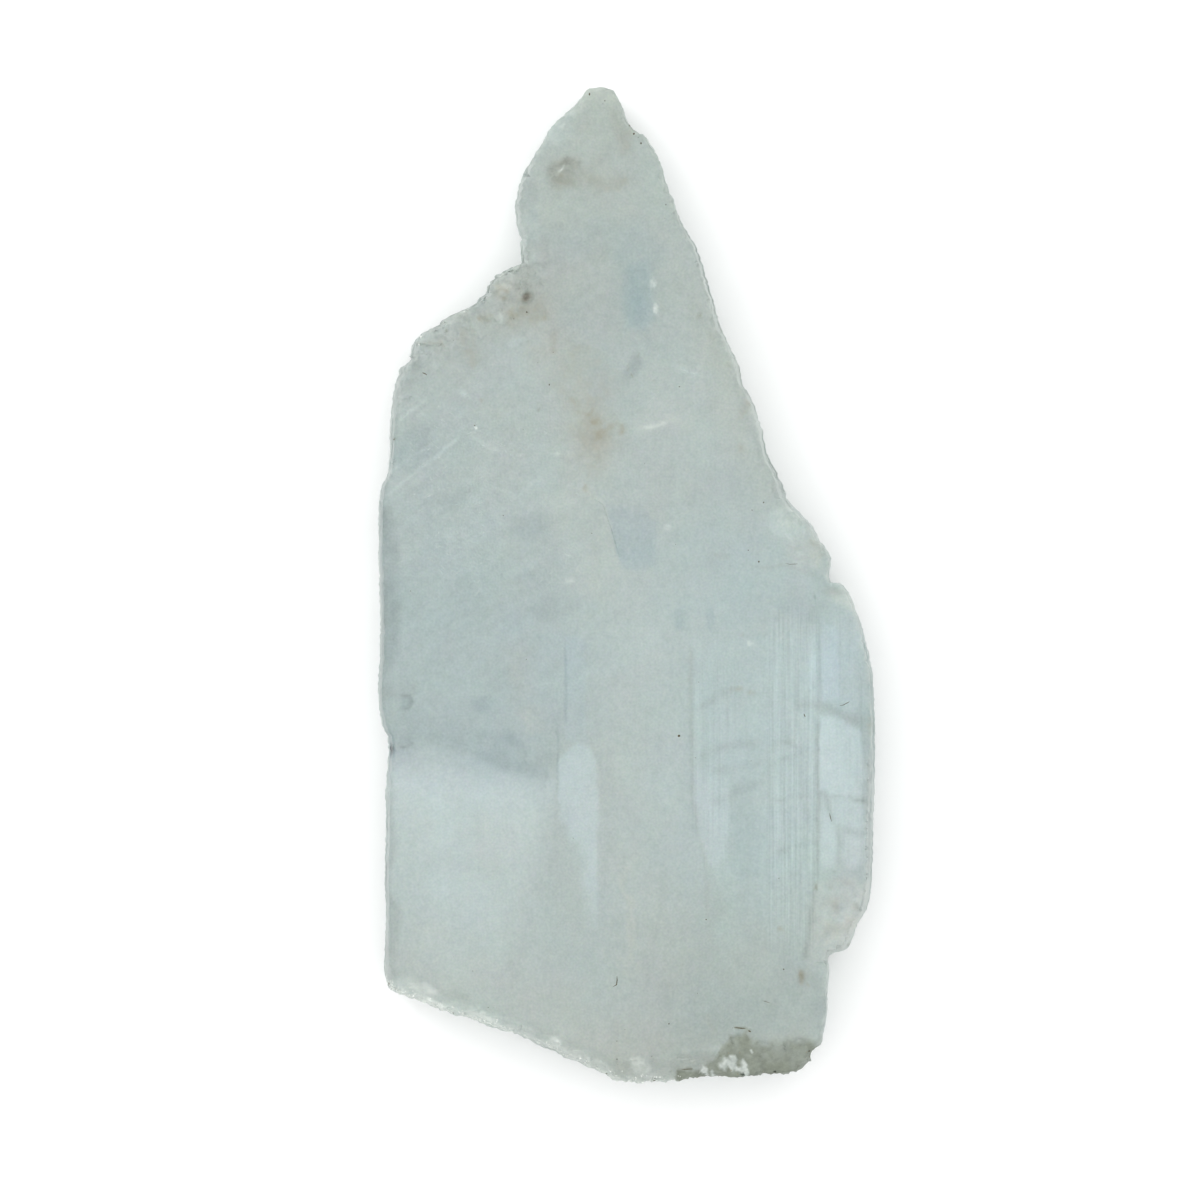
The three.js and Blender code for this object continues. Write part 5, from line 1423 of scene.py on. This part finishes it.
# What is scattered. Sizes are half the grain's length, width and height in mm, density is grains to a
# square millimetre, turns are in degrees to either side of the middle, sink is how deep they lie.
scatters = [
    {"name": "whiteCrumbs", "shape": "grain", "material": crushedGypsum, "where": "crumbly",
     "from": 0.35, "density": 8.0, "smallest": (0.04, 0.04, 0.02), "largest": (0.2, 0.15, 0.08),
     "turn": (180, 180, 180), "sink": (-0.02, 0.05), "seed": 3},
    {"name": "mudGrains", "shape": "grain", "material": dryMud, "where": "clay",
     "from": 0.6, "density": 0.7, "smallest": (0.04, 0.04, 0.03), "largest": (0.2, 0.16, 0.1),
     "turn": (180, 180, 180), "sink": (0.02, 0.1), "seed": 4},
    {"name": "satinFibres", "shape": "thread", "material": fibreGypsum, "where": "satin",
     "from": 0.15, "density": 1.1, "smallest": (0.015, 0.7, 0.015), "largest": (0.045, 3.6, 0.04),
     "turn": (0, 0, 0.6), "sink": (0.15, 1.3), "seed": 5},
    {"name": "fineScratchesUp", "shape": "thread", "material": scratchBurr, "where": "hatched",
     "from": 0.1, "density": 0.3, "smallest": (0.3, 0.012, 0.008), "largest": (1.2, 0.03, 0.012),
     "turn": (0, 0, 16), "middle": 38, "sink": (0.0, 0.01), "seed": 6},
    {"name": "fineScratchesDown", "shape": "thread", "material": scratchBurr, "where": "hatched",
     "from": 0.1, "density": 0.25, "smallest": (0.3, 0.012, 0.008), "largest": (1.0, 0.03, 0.012),
     "turn": (0, 0, 20), "middle": -36, "sink": (0.0, 0.01), "seed": 7},
    {"name": "dust", "shape": "grain", "material": darkDust, "where": "hatched",
     "from": -0.2, "density": 0.006, "smallest": (0.025, 0.025, 0.02), "largest": (0.08, 0.06, 0.04),
     "turn": (0, 0, 180), "sink": (0.0, 0.03), "seed": 8},
]


def growPiece(scatter):
    piece = newObject(scatter["name"], slabPiece.data.copy())
    grow = piece.modifiers.new("scatter", "NODES")
    grow.node_group = scatterTrees[scatter["shape"]]
    middle = scatter.get("middle", 0)
    turns = [math.radians(t) for t in scatter["turn"]]
    values = {"Where": scatter["where"], "From": scatter["from"], "Density": scatter["density"] / mm ** 2,
              "Smallest": [s * mm for s in scatter["smallest"]],
              "Largest": [s * mm for s in scatter["largest"]],
              "Turn low": [-turns[0], -turns[1], math.radians(middle) - turns[2]],
              "Turn high": [turns[0], turns[1], math.radians(middle) + turns[2]],
              "Sink low": scatter["sink"][0] * mm, "Sink high": scatter["sink"][1] * mm,
              "Seed": scatter["seed"], "Material": scatter["material"]}
    for item in grow.node_group.interface.items_tree:
        if item.in_out == "INPUT" and item.name in values:
            grow[item.identifier] = values[item.name]
    result = bpy.data.meshes.new_from_object(piece.evaluated_get(bpy.context.evaluated_depsgraph_get()))
    piece.modifiers.remove(grow)
    bpy.data.objects.remove(piece)
    result.name = scatter["name"]
    print("stage:", scatter["name"], len(result.polygons), "faces")
    return newPiece(scatter["name"], result, scatter["material"])


for scatter in scatters:
    growPiece(scatter)

bpy.ops.mesh.primitive_plane_add(size=3.0, location=(0, 0, -0.0002))
floor = bpy.context.object
floor.name = "floor"
paper, tree, shader = newMaterial("white card")
shader.inputs["Base Color"].default_value = hexLinear("fafafa")
shader.inputs["Roughness"].default_value = 0.8
floor.data.materials.append(paper)

world = bpy.data.worlds.new("studio")
bpy.context.scene.world = world
world.use_nodes = True
world.node_tree.nodes["Background"].inputs["Color"].default_value = (1, 1, 1, 1)
world.node_tree.nodes["Background"].inputs["Strength"].default_value = 0.9


def softbox(name, place, aim, size, power):
    light = bpy.data.lights.new(name, "AREA")
    light.shape, light.size, light.energy = "SQUARE", size, power
    lamp = newObject(name, light)
    lamp.location = place
    lamp.rotation_euler = (Vector(aim) - Vector(place)).to_track_quat("-Z", "Y").to_euler()


softbox("overhead", (0, 0, 0.9), (0, 0, 0), 1.0, 4.0)
softbox("side", (-0.5, 0.45, 0.45), (0, 0, 0), 0.35, 1.0)

camera = bpy.data.cameras.new("camera")
camera.lens, camera.sensor_width = 240, 36
view = newObject("camera", camera)
viewWidth = 0.1264   # of the slab's mid-height plane, in metres
distance = viewWidth / 2 / math.tan(math.atan(camera.sensor_width / 2 / camera.lens))
view.location = (-0.0028, -0.0015, slab["height"] / 2 * mm + distance)
bpy.context.scene.camera = view
bpy.context.scene.view_settings.view_transform = "Standard"
